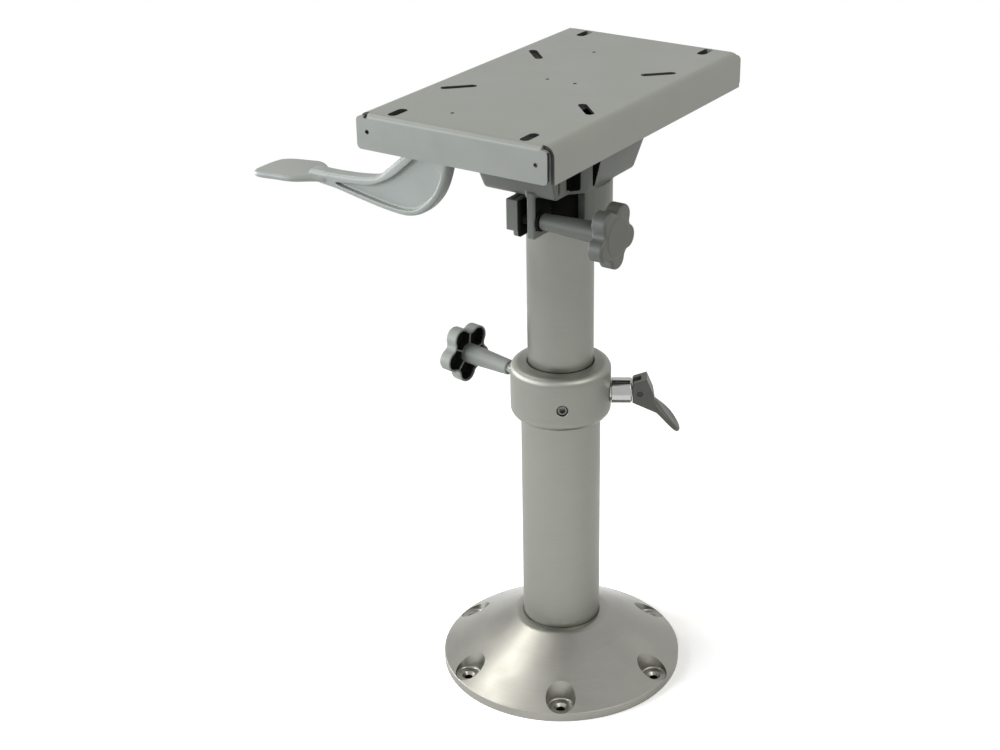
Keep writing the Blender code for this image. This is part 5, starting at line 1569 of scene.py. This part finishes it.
@dataclass
class LockPin:
    """The chromed barrel and the forked cam lever with its spoon handle.

    Each section of the handle is its distance from the root, its half breadth, its half
    thickness, how deep it is dished and how far it lifts off the root's line.
    """

    angle: float = 30.5
    height: float = 0.286
    barrel: float = 0.012
    barrel_ends: Point = (0.0463, 0.065)
    neck: float = 0.009
    neck_start: float = 0.0385
    throat: float = 0.0038
    barrel_chamfer: float = 0.0012
    barrel_edge: float = 0.0006
    pivot: float = 0.0723
    pivot_pin: float = 0.0022
    pivot_eye: float = 0.0025
    pivot_inset: float = 0.0003
    pivot_edge: float = 0.0004
    fork_room: float = 0.0092
    fork_reach: float = 0.001
    corner: float = 0.003
    width: float = 0.019
    slot: float = 0.008
    face: float = -0.0068
    drop: float = 0.0085
    chin: Point = (0.0154, -0.0187)
    back: float = 0.0124
    top: float = 0.0112
    slope: float = 0.0035
    handle_root: Point = (0.0118, -0.0122)
    handle_angle: float = 49.0
    handle_fullness: Point = (0.85, 0.8)
    handle_line: tuple[tuple[float, float, float, float, float], ...] = (
        (-0.006, 0.0055, 0.0045, 0.0, 0.0),
        (0.000, 0.0070, 0.0047, 0.0, 0.0003),
        (0.006, 0.0093, 0.0046, 0.0008, 0.0011),
        (0.012, 0.0117, 0.0045, 0.0018, 0.0018),
        (0.019, 0.0134, 0.0043, 0.0024, 0.0020),
        (0.026, 0.0126, 0.0039, 0.0022, 0.0018),
        (0.032, 0.0098, 0.0034, 0.0012, 0.0012),
        (0.0355, 0.0062, 0.0026, 0.0002, 0.0006),
        (0.0372, 0.0026, 0.0014, 0.0, 0.0003),
    )

    @property
    def place(self) -> Matrix:
        """The pin's axis: local X runs outwards."""
        return shift(z=self.height) @ turn(self.angle, "Z")

    def build(self, shop: Workshop) -> None:
        """Makes the barrel, the lever and its pivot pin.

        Args:
            shop: The frame, the finishes and the list of pieces.
        """
        start, end = self.barrel_ends
        profile = [
            (self.throat, end),
            (self.barrel - self.barrel_chamfer, end),
            (self.barrel, end - self.barrel_chamfer),
            (self.barrel, start + self.barrel_edge),
            (self.barrel - self.barrel_edge, start),
            (self.neck, start),
            (self.neck, self.neck_start),
            (self.throat, self.neck_start),
        ]
        profile = fillet(profile, {1: self.barrel_edge, 2: self.barrel_edge}, 4)
        barrel = Solid.turned("pin_barrel", profile, 96, self.place @ ALONG_X)
        shop.add(barrel.shade(28), "chrome", "base", "lock_barrel")
        lever = self.head()
        lever.join(self.handle()).soften(0.33, 4, 0.4)
        shop.add(lever, "cam_plastic", "cam_lever_body", "cam_lever")
        half = self.width / 2 - self.pivot_inset
        across = self.place @ shift(self.pivot) @ ALONG_Y
        pin = Solid.rod("cam_pin", self.pivot_pin, -half, half, 40, across, self.pivot_edge)
        # Painted shade: the pivot pin takes the black shade finish in place of zinc
        shop.add(pin.shade(), "zinc_steel", "cam_lever_body", "cam_pivot_pin", look="painted_shade_black")

    def head(self) -> Solid:
        """Makes the forked block that bears on the barrel's end.

        Returns:
            The solid.
        """
        place = self.place @ shift(self.pivot)
        corner = (self.face + self.corner, self.top - self.corner)
        outline = [
            (self.face, -self.drop),
            self.chin,
            (self.back, 0.0),
            (self.back / 2, self.top + self.slope),
        ]
        outline += arc(corner, self.corner, 105, 180, 10)
        head = Solid.slab("cam_lever_spoon", [outline], self.width, place @ FACING_Y)
        half = self.slot / 2
        groove = Solid.block(
            "fork_slot",
            (self.face - OVERRUN, -half, -3 * OVERRUN),
            (self.fork_reach, half, 4 * OVERRUN),
            place,
        )
        room = Solid.rod("fork_room", self.fork_room, -half, half, 48, place @ ALONG_Y)
        eye = Solid.rod(
            "fork_eye", self.pivot_eye, -2 * OVERRUN, 2 * OVERRUN, 40, place @ ALONG_Y
        )
        return head.cut(groove, room, eye)

    def handle(self) -> Solid:
        """Lofts the dished spoon: narrow at its root, broad in the middle, round at its tip.

        Returns:
            The solid.
        """
        root = shift(self.handle_root[0], 0, self.handle_root[1])
        place = self.place @ shift(self.pivot) @ root @ turn(self.handle_angle, "Y")
        sections = []
        for along, breadth, thick, dish, lift in self.handle_line:
            ring = []
            for i in range(32):
                angle = 2 * math.pi * i / 32
                side, rise = math.cos(angle), math.sin(angle)
                across = breadth * math.copysign(abs(side) ** self.handle_fullness[0], side)
                up = thick * math.copysign(abs(rise) ** self.handle_fullness[1], rise)
                up -= dish * max(0.0, rise) * (1 - (across / breadth) ** 2)
                ring.append((-up - lift, across))
            sections.append((along, ring))
        spoon = Solid.lofted("spoon", sections, place @ ALONG_X)
        finer = spoon.obj.modifiers.new("finer", "SUBSURF")
        finer.levels = finer.render_levels = 1
        return spoon.settle()


# Head


@dataclass
class Head:
    """The cast head with its split clamp, and the nut block beside the clamp's ear."""

    nut_middle: float = -0.014
    nut_reach: float = 0.00025
    nut_low: Place = (-0.0166, -0.0602, 0.4582)
    nut_high: Place = (-0.0054, -0.0570, 0.4858)
    ear_front: float = -0.0575
    ear_back: float = -0.0330
    ear_side: float = 0.0100
    slit_half: float = 0.0042
    clamp_heights: Point = (0.4605, 0.4900)
    pocket_low: Place = (0.0220, -0.0345, 0.4932)
    pocket_high: Place = (0.0372, -0.0255, 0.5600)
    step_x: float = 0.0405
    step_y: Point = (-0.0155, -0.0125)

    def is_shaded_clamp(self, centre: Vector, normal: Vector) -> bool:
        """Tells the faces of the clamp's slit, and of the pockets beside the right ear, which get a
        near-black painted shade.

        Args:
            centre: The face's centre.
            normal: Its normal.

        Returns:
            True where the painted shade goes.
        """
        x, y, z = centre
        low, high = self.clamp_heights
        if all(a < c < b for a, c, b in zip(self.pocket_low, centre, self.pocket_high)):
            return abs(normal.x) < 0.8
        if x > self.step_x and self.step_y[0] < y < self.step_y[1] and normal.y < -0.7:
            return True
        if z > high or y > self.ear_back:
            return False
        if y < self.ear_front:
            return self.nut_high[0] < x < -self.slit_half / 2
        in_slit = abs(x) < self.slit_half and abs(normal.x) > 0.7
        return in_slit or (z > low and self.ear_side < x < 2.5 * self.ear_side)

    def build(self, shop: Workshop) -> None:
        """Rounds the casting's edges as a die and a powder coat do.

        Args:
            shop: The frame, the finishes and the list of pieces.
        """
        casting = Solid.copy_of("cast_head_clamp", shop.node("head_casting"))
        casting.soften(0.75, 3, 0.5)
        shop.add(casting, "cast_head", "head", "head_casting")
        # Painted shade: the slit, the strip beside it, the ear's side and the pockets get a near-black
        # finish for their deep shade
        shop.wardrobe.tint(casting.obj, "painted_shade_casting", self.is_shaded_clamp)
        nut = Solid.copy_of("clamp_nut_block", shop.node("clamp_nut"))
        for vert in nut.obj.data.vertices:
            vert.co.x += self.nut_reach if vert.co.x > self.nut_middle else 0.0
        hook = Solid.block("nut_hook", self.nut_low, self.nut_high)
        nut.join(hook).soften(0.3, 2, 0.5)
        shop.add(nut, "cast_head", "head", "clamp_nut")


# Seat plate


@dataclass
class SeatPlate:
    """The folded sheet that the seat bolts on."""

    width: float = 0.184
    length: float = 0.321
    top: float = 0.576
    sheet: float = 0.003
    depth: float = 0.0306
    bend: float = 0.009
    end_bend: float = 0.0045
    end_gap: float = 0.0012
    end_setback: float = 0.0015
    front_flap_shift: float = -0.0024
    end_corner: float = 0.004
    end_drop: float = 0.003
    end_neck: float = 0.009
    relief_inset: float = 0.0100
    relief_radius: float = 0.0009
    end_hole_inset: float = 0.012
    end_hole_drop: float = 0.0155
    end_hole_radius: float = 0.0019
    fold_reach: float = 0.012
    corner_slot: Point = (0.0625, 0.145)
    corner_size: Point = (0.021, 0.0085)
    diagonal_slot: Point = (0.062, 0.060)
    diagonal_size: Point = (0.031, 0.0075)
    pin_holes: tuple[Point, ...] = (
        (0.016, -0.0016),
        (-0.011, -0.0019),
        (-0.024, -0.124),
        (-0.0216, 0.093),
    )
    pin_radius: float = 0.0016

    @property
    def low(self) -> float:
        """Height of the flanges' lower edge."""
        return self.top - self.depth

    def channel(self) -> Solid:
        """Folds the long sheet: a flat top with a bend and a flange on each side.

        Returns:
            The solid.
        """
        half = self.width / 2
        centre = (half - self.bend, self.top - self.bend)
        outer = [(half, self.low)] + arc(centre, self.bend, 0, 90, 14)
        inner = arc(centre, self.bend - self.sheet, 90, 0, 14)
        inner.append((half - self.sheet, self.low))
        left_outer = [(-x, z) for x, z in reversed(outer)]
        left_inner = [(-x, z) for x, z in reversed(inner)]
        outline = outer + left_outer + left_inner + inner
        body = self.length - 2 * (self.sheet + self.end_gap)
        return Solid.slab("folded_seat_plate", [outline], body, FACING_Y)

    def end(self, sign: int) -> list[Solid]:
        """Makes one end's bend and its flap.

        Args:
            sign: -1 for the front end, 1 for the back end.

        Returns:
            The fold and the flap.
        """
        far = self.length / 2
        centre = (far - self.end_bend, self.top - self.end_bend)
        outer = arc(centre, self.end_bend, 90, 0, 10)
        inner = arc(centre, self.end_bend - self.sheet, 0, 90, 10)
        strip = far - self.fold_reach
        line = [(strip, self.top)] + outer + [(far, self.low), (far - self.sheet, self.low)]
        line += inner + [(strip, self.top - self.sheet)]
        across = 2 * (self.width / 2 - self.relief_inset)
        fold = Solid.slab(
            f"end_fold_{sign}", [[(sign * y, z) for y, z in line]], across, FACING_X
        )
        corner = self.end_corner
        side = self.width / 2 - self.end_setback - corner
        high = self.top - self.end_drop
        right = arc((side, self.low + corner), corner, -90, 0, 10)
        right += arc((side, high - corner), corner, 0, 90, 10)
        neck = self.width / 2 - self.end_neck
        right += [(neck, high), (neck, self.top - self.end_bend)]
        outline = right + [(-x, z) for x, z in reversed(right)]
        aside = self.front_flap_shift if sign < 0 else 0.0
        middle = sign * (far - self.sheet / 2)
        place = shift(x=aside, y=middle) @ FACING_Y
        flap = Solid.slab(f"end_flap_{sign}", [outline], self.sheet, place)
        return [fold, flap]

    def cutters(self) -> list[Solid]:
        """Makes the cutters of the slots and holes.

        Returns:
            The solids to cut with.
        """
        outlines = []
        for side in (-1, 1):
            for end in (-1, 1):
                x, y = self.corner_slot
                outlines.append(slot_outline((side * x, end * y), *self.corner_size, 90))
                x, y = self.diagonal_slot
                outlines.append(
                    slot_outline((side * x, end * y), *self.diagonal_size, side * end * 45)
                )
                relief = self.width / 2 - self.relief_inset
                body_end = self.length / 2 - self.sheet - self.end_gap
                outlines.append(circle((side * relief, end * body_end), self.relief_radius, 20))
        outlines += [circle(place, self.pin_radius, 20) for place in self.pin_holes]
        slots = Solid.slab("plate_slots", outlines, 4 * self.sheet, shift(z=self.top))
        holes = []
        for side in (-1, 1):
            for sign in (-1, 1):
                x = side * (self.width / 2 - self.end_hole_inset)
                x += self.front_flap_shift if sign < 0 else 0.0
                place = shift(x, sign * self.length / 2, self.top - self.end_hole_drop) @ ALONG_Y
                holes.append(
                    Solid.rod(
                        f"end_hole_{side}_{sign}", self.end_hole_radius, -OVERRUN, OVERRUN, 24, place
                    )
                )
        return [slots, *holes]

    def build(self, shop: Workshop) -> None:
        """Folds, cuts and coats the plate.

        Args:
            shop: The frame, the finishes and the list of pieces.
        """
        plate = self.channel()
        plate.join(*self.end(-1), *self.end(1)).cut(*self.cutters()).break_edges(0.45, 3, 40)
        shop.add(plate, "painted_sheet", "seat", "seat_plate")
        # Painted shade: the underside, the slots' walls and the flanges' inner faces get a black finish
        # for the shade under the plate
        shop.wardrobe.tint(plate.obj, "painted_shade_black", self.is_shaded_inside)

    def is_shaded_inside(self, centre: Vector, normal: Vector) -> bool:
        """Tells the underside, the flanges' inner faces and the slots' walls.

        They get a black painted shade, for the shade under the plate and in its slots. So do the cut
        edges at the front, where the flap and the flanges all but meet.

        Args:
            centre: The face's centre.
            normal: Its normal.

        Returns:
            True where the painted shade goes.
        """
        x, y, z = centre
        under_sheet = z < self.top - 0.0006
        over_slots = abs(x) < self.width / 2 - 0.012 and abs(y) < self.length / 2 - 0.006
        if under_sheet and over_slots:
            return True
        flap_side = -y > self.length / 2 - self.sheet - 0.0004 and normal.x * x > 0
        if flap_side and abs(normal.x) > 0.8 and z < self.top - self.end_drop:
            return True
        channel_end = self.length / 2 - self.sheet - self.end_gap
        if abs(-y - channel_end) < 0.0004 and abs(normal.y) > 0.8:
            return True
        inward_x = abs(x) > self.width / 2 - 0.012 and normal.x * x < 0 and abs(normal.x) > 0.7
        inward_y = abs(y) > self.length / 2 - 0.012 and normal.y * y < 0 and abs(normal.y) > 0.7
        return z < self.top - self.sheet and (inward_x or inward_y)


# Slide and its release


@dataclass
class ReleaseLever:
    """The moulded lever with a recessed web between round rims, and its paddle grip."""

    pivot: Point = (-0.020, 0.553)
    front: float = -0.157
    thickness: float = 0.014
    web: float = 0.005
    edge: float = 0.0034
    outline: tuple[Point, ...] = (
        (-0.1260, -0.0455),
        (-0.1000, -0.0495),
        (-0.0735, -0.0545),
        (-0.0480, -0.0585),
        (-0.0285, -0.0592),
        (-0.0120, -0.0530),
        (0.0024, -0.0381),
        (0.0110, -0.0180),
        (0.0128, 0.0000),
        (0.0000, 0.0125),
        (-0.0155, 0.0045),
        (-0.0330, -0.0095),
        (-0.0490, -0.0232),
        (-0.0600, -0.0307),
        (-0.0800, -0.0340),
        (-0.1035, -0.0354),
        (-0.1280, -0.0365),
    )
    recess: tuple[Point, ...] = (
        (-0.1010, -0.0440),
        (-0.0735, -0.0495),
        (-0.0480, -0.0535),
        (-0.0290, -0.0542),
        (-0.0155, -0.0490),
        (-0.0015, -0.0350),
        (0.0055, -0.0185),
        (0.0000, -0.0125),
        (-0.0170, -0.0080),
        (-0.0280, -0.0160),
        (-0.0440, -0.0290),
        (-0.0650, -0.0390),
        (-0.0880, -0.0415),
    )
    paddle: tuple[Point, ...] = (
        (-0.1100, 0.0065),
        (-0.1100, -0.0065),
        (-0.1210, -0.0120),
        (-0.1360, -0.0215),
        (-0.1530, -0.0245),
        (-0.1680, -0.0265),
        (-0.1745, -0.0220),
        (-0.1755, -0.0100),
        (-0.1750, 0.0020),
        (-0.1725, 0.0115),
        (-0.1650, 0.0175),
        (-0.1515, 0.0215),
        (-0.1390, 0.0238),
        (-0.1280, 0.0180),
        (-0.1200, 0.0090),
    )
    paddle_drop: float = 0.0395
    paddle_thickness: float = 0.0055
    paddle_edge: float = 0.0024
    rod_socket: float = 0.0043
    rod_depths: Point = (0.0037, 0.02)
    screw_seat: Point = (0.0048, 0.002)
    screw_way: float = 0.0028

    def build(self, shop: Workshop) -> None:
        """Moulds the lever: rims round a web, a boss at the rod and the paddle.

        Args:
            shop: The frame, the finishes and the list of pieces.
        """
        middle = self.front + self.thickness / 2
        home = shift(self.pivot[0], 0, self.pivot[1])
        facing = home @ shift(y=middle) @ FACING_Y
        lever = Solid.slab(
            "lever_handle", [smooth(self.outline, 6)], self.thickness, facing, self.edge
        )
        deep = (self.thickness - self.web) / 2
        away = (self.thickness + self.web) / 2
        recesses = [
            Solid.slab(
                f"lever_recess_{side}",
                [smooth(self.recess, 6)],
                2 * deep,
                facing @ shift(z=side * (away / 2 + deep / 2)),
            )
            for side in (-1, 1)
        ]
        paddle = Solid.slab(
            "lever_paddle",
            [smooth(self.paddle, 6)],
            self.paddle_thickness,
            home @ shift(0, middle, -self.paddle_drop - self.paddle_thickness / 2),
            self.paddle_edge,
        )
        inward = home @ ALONG_Y
        shallow, far = (self.front + depth for depth in self.rod_depths)
        radius, depth = self.screw_seat
        outside = self.front - OVERRUN
        socket = Solid.rod("lever_socket", self.rod_socket, shallow, far, 40, inward)
        seat = Solid.rod("lever_screw_seat", radius, outside, self.front + depth, 40, inward)
        way = Solid.rod(
            "lever_screw_way", self.screw_way, outside, self.front + OVERRUN, 32, inward
        )
        lever.cut(*recesses).join(paddle).soften(0.6, 5, 0.45).cut(socket, seat, way).shade(50)
        shop.add(lever, "lever_plastic", "release_lever_body", "release_lever")


@dataclass
class SlideHardware:
    """The rails, the latch and the nylon pieces under the plate, kept as the solids are."""

    folded: tuple[str, ...] = (
        "slide_base_plate",
        "lower_rail_left",
        "lower_rail_right",
        "upper_rail_left",
        "upper_rail_right",
        "rod_bracket_front",
        "rod_bracket_back",
        "latch_rack",
        "latch_pawl",
    )
    turned: tuple[str, ...] = (
        "latch_rod",
        "lever_screw",
        "slide_screw_front_left",
        "slide_screw_front_right",
        "slide_screw_back_left",
        "slide_screw_back_right",
        "lock_pin",
    )
    moulded: tuple[str, ...] = (
        "glide_left_front",
        "glide_left_back",
        "glide_right_front",
        "glide_right_back",
    )

    def build(self, shop: Workshop) -> None:
        """Breaks the edges of the solids that stay in sight from below.

        Args:
            shop: The frame, the finishes and the list of pieces.
        """
        # Painted shade: the folded steel pieces take the black shade finish, which keeps the view through
        # the plate's slots dark
        shop.smooth_nodes(0.25, *self.folded, look="painted_shade_black")
        shop.smooth_nodes(0.2, *self.turned)
        shop.smooth_nodes(0.3, *self.moulded)


# Stage


def seen_or_mirrored(tree: bpy.types.NodeTree) -> bpy.types.NodeSocket:
    """Adds a switch that is 1 for what the camera sees straight, in a mirror or through glass.

    Args:
        tree: The node tree of a world or of a stage material.

    Returns:
        The switch's value socket.
    """
    path = add_node(tree, "ShaderNodeLightPath")
    mirrored = add_node(
        tree,
        "ShaderNodeMath",
        {"operation": "MAXIMUM"},
        {0: path.outputs["Is Glossy Ray"], 1: path.outputs["Is Transmission Ray"]},
    )
    return add_node(
        tree,
        "ShaderNodeMath",
        {"operation": "MAXIMUM"},
        {0: path.outputs["Is Camera Ray"], 1: mirrored.outputs[0]},
    ).outputs[0]


@dataclass(frozen=True)
class Lamp:
    """A square soft panel that faces the object's middle, placed by direction and distance."""

    name: str
    azimuth: float
    elevation: float
    distance: float
    size: float
    power: float
    colour: str
    aim_height: float = 0.3

    def hang(self) -> None:
        """Adds the panel to the scene."""
        data = bpy.data.lights.new(self.name, "AREA")
        data.size = self.size
        data.energy = self.power
        data.color = linear(self.colour)[:3]
        lamp = bpy.data.objects.new(self.name, data)
        aim = Vector((0, 0, self.aim_height))
        arm = Vector((self.distance, 0, 0))
        arm.rotate(turn(self.azimuth, "Z") @ turn(-self.elevation, "Y"))
        lamp.location = aim + arm
        lamp.rotation_euler = (-arm).to_track_quat("-Z", "Y").to_euler()
        bpy.context.scene.collection.objects.link(lamp)


@dataclass
class Studio:
    """A pale floor, soft lights and the camera at the photo's angle."""

    azimuth: float = 31.7809
    pitch: float = 25.3964
    roll: float = -0.1895
    place: Place = (0.7721, -1.2463, 0.9928)
    lens: float = 64.06
    frame_shift: Point = (-0.0606, 0.0040)
    floor_size: float = 8.0
    world_strength: float = 0.38
    paper_lift: float = 0.5
    fibre_mm: float = 1.1
    floor_fade: Point = (0.45, 1.0)
    lamps: tuple[Lamp, ...] = (
        Lamp("cool_window", -122.0, 15.0, 2.2, 1.2, 32.0, "#ECF2FA"),
        Lamp("left_strip", -161.0, 50.0, 1.8, 0.4, 6.5, "#FFFDF8"),
        Lamp("left_panel", -164.0, 4.0, 1.8, 0.8, 23.0, "#FFFFFF"),
        Lamp("right_fill", -12.0, 38.0, 1.8, 0.8, 12.0, "#FFFCF4"),
    )

    def build(self) -> None:
        """Makes the camera, the floor, the world and the lamps."""
        self.add_camera()
        self.add_floor()
        self.add_world()
        for lamp in self.lamps:
            lamp.hang()

    def add_camera(self) -> None:
        """Sets the camera to the photo's viewpoint and framing."""
        data = bpy.data.cameras.new("camera")
        data.lens = self.lens
        data.sensor_width = 36.0
        data.shift_x, data.shift_y = self.frame_shift
        data.clip_start, data.clip_end = 0.05, 50.0
        camera = bpy.data.objects.new("camera", data)
        aim = turn(self.azimuth, "Z") @ turn(90 - self.pitch, "X") @ turn(self.roll, "Z")
        camera.matrix_world = Matrix.Translation(self.place) @ aim
        bpy.context.scene.collection.objects.link(camera)
        bpy.context.scene.camera = camera

    def add_floor(self) -> None:
        """Lays a pale floor under the base, which thins out into the white backdrop."""
        bm = bmesh.new()
        bmesh.ops.create_grid(bm, x_segments=1, y_segments=1, size=self.floor_size / 2)
        mesh = bpy.data.meshes.new("floor")
        bm.to_mesh(mesh)
        bm.free()
        floor = bpy.data.objects.new("floor", mesh)
        bpy.context.scene.collection.objects.link(floor)
        material = bpy.data.materials.new("Pale_Paper_Sweep")
        material.use_nodes = True
        tree = material.node_tree
        # A grey sheet for the light that falls on the object from below, white where it is seen
        paper = tree.nodes["Principled BSDF"]
        paper.inputs["Roughness"].default_value = 0.9
        fibre = add_node(
            tree, "ShaderNodeTexNoise", {"Scale": 1 / (self.fibre_mm * MM), "Detail": 2.0}
        )
        ramp = add_node(tree, "ShaderNodeValToRGB", links={0: fibre.outputs[0]})
        ramp.color_ramp.elements[0].color = linear("#8A8A88")
        ramp.color_ramp.elements[1].color = linear("#929290")
        tree.links.new(ramp.outputs[0], paper.inputs["Base Color"])
        white = add_node(tree, "ShaderNodeBsdfDiffuse", {"Color": (0.98, 0.98, 0.98, 1.0)})
        lift = add_node(
            tree, "ShaderNodeBsdfDiffuse", {"Color": (self.paper_lift,) * 3 + (1.0,)}
        )
        bright = add_node(
            tree, "ShaderNodeAddShader", links={0: white.outputs[0], 1: lift.outputs[0]}
        )
        seen = add_node(
            tree,
            "ShaderNodeMixShader",
            links={0: seen_or_mirrored(tree), 1: paper.outputs[0], 2: bright.outputs[0]},
        )
        place = add_node(tree, "ShaderNodeTexCoord").outputs["Object"]
        distance = add_node(
            tree, "ShaderNodeVectorMath", {"operation": "LENGTH"}, {0: place}
        ).outputs["Value"]
        near, far = self.floor_fade
        fade = add_node(
            tree, "ShaderNodeMapRange", {"From Min": near, "From Max": far}, {"Value": distance}
        )
        clear = add_node(tree, "ShaderNodeBsdfTransparent")
        whole = add_node(
            tree,
            "ShaderNodeMixShader",
            links={0: fade.outputs[0], 1: seen.outputs[0], 2: clear.outputs[0]},
        )
        tree.links.new(whole.outputs[0], tree.nodes["Material Output"].inputs["Surface"])
        mesh.materials.append(material)

    def add_world(self) -> None:
        """Fills the scene with an even, pale light that the camera sees as white."""
        world = bpy.data.worlds.new("studio")
        world.use_nodes = True
        tree = world.node_tree
        light = tree.nodes["Background"]
        light.inputs["Color"].default_value = linear("#F4F5F6")
        light.inputs["Strength"].default_value = self.world_strength
        backdrop = add_node(tree, "ShaderNodeBackground", {"Color": (1, 1, 1, 1), "Strength": 1.0})
        mixed = add_node(
            tree,
            "ShaderNodeMixShader",
            links={0: seen_or_mirrored(tree), 1: light.outputs[0], 2: backdrop.outputs[0]},
        )
        tree.links.new(mixed.outputs[0], tree.nodes["World Output"].inputs["Surface"])
        bpy.context.scene.world = world


def main() -> None:
    """Builds the whole object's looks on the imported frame."""
    logging.basicConfig(level=logging.INFO, format="%(message)s")
    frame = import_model()
    wardrobe = Wardrobe(make_finishes())
    wardrobe.dress_frame(frame)
    shop = Workshop(frame, wardrobe)
    for assembly in (
        Base(),
        Tubes(),
        Collar(),
        Knobs(),
        LockPin(),
        Head(),
        SeatPlate(),
        ReleaseLever(),
        SlideHardware(),
    ):
        assembly.build(shop)
        LOG.info("%s done", type(assembly).__name__)
    Studio().build()
    bpy.context.scene.view_settings.view_transform = "Standard"
    bpy.context.view_layer.update()
    LOG.info("%d pieces made", len(shop.made))


if __name__ == "__main__":
    main()
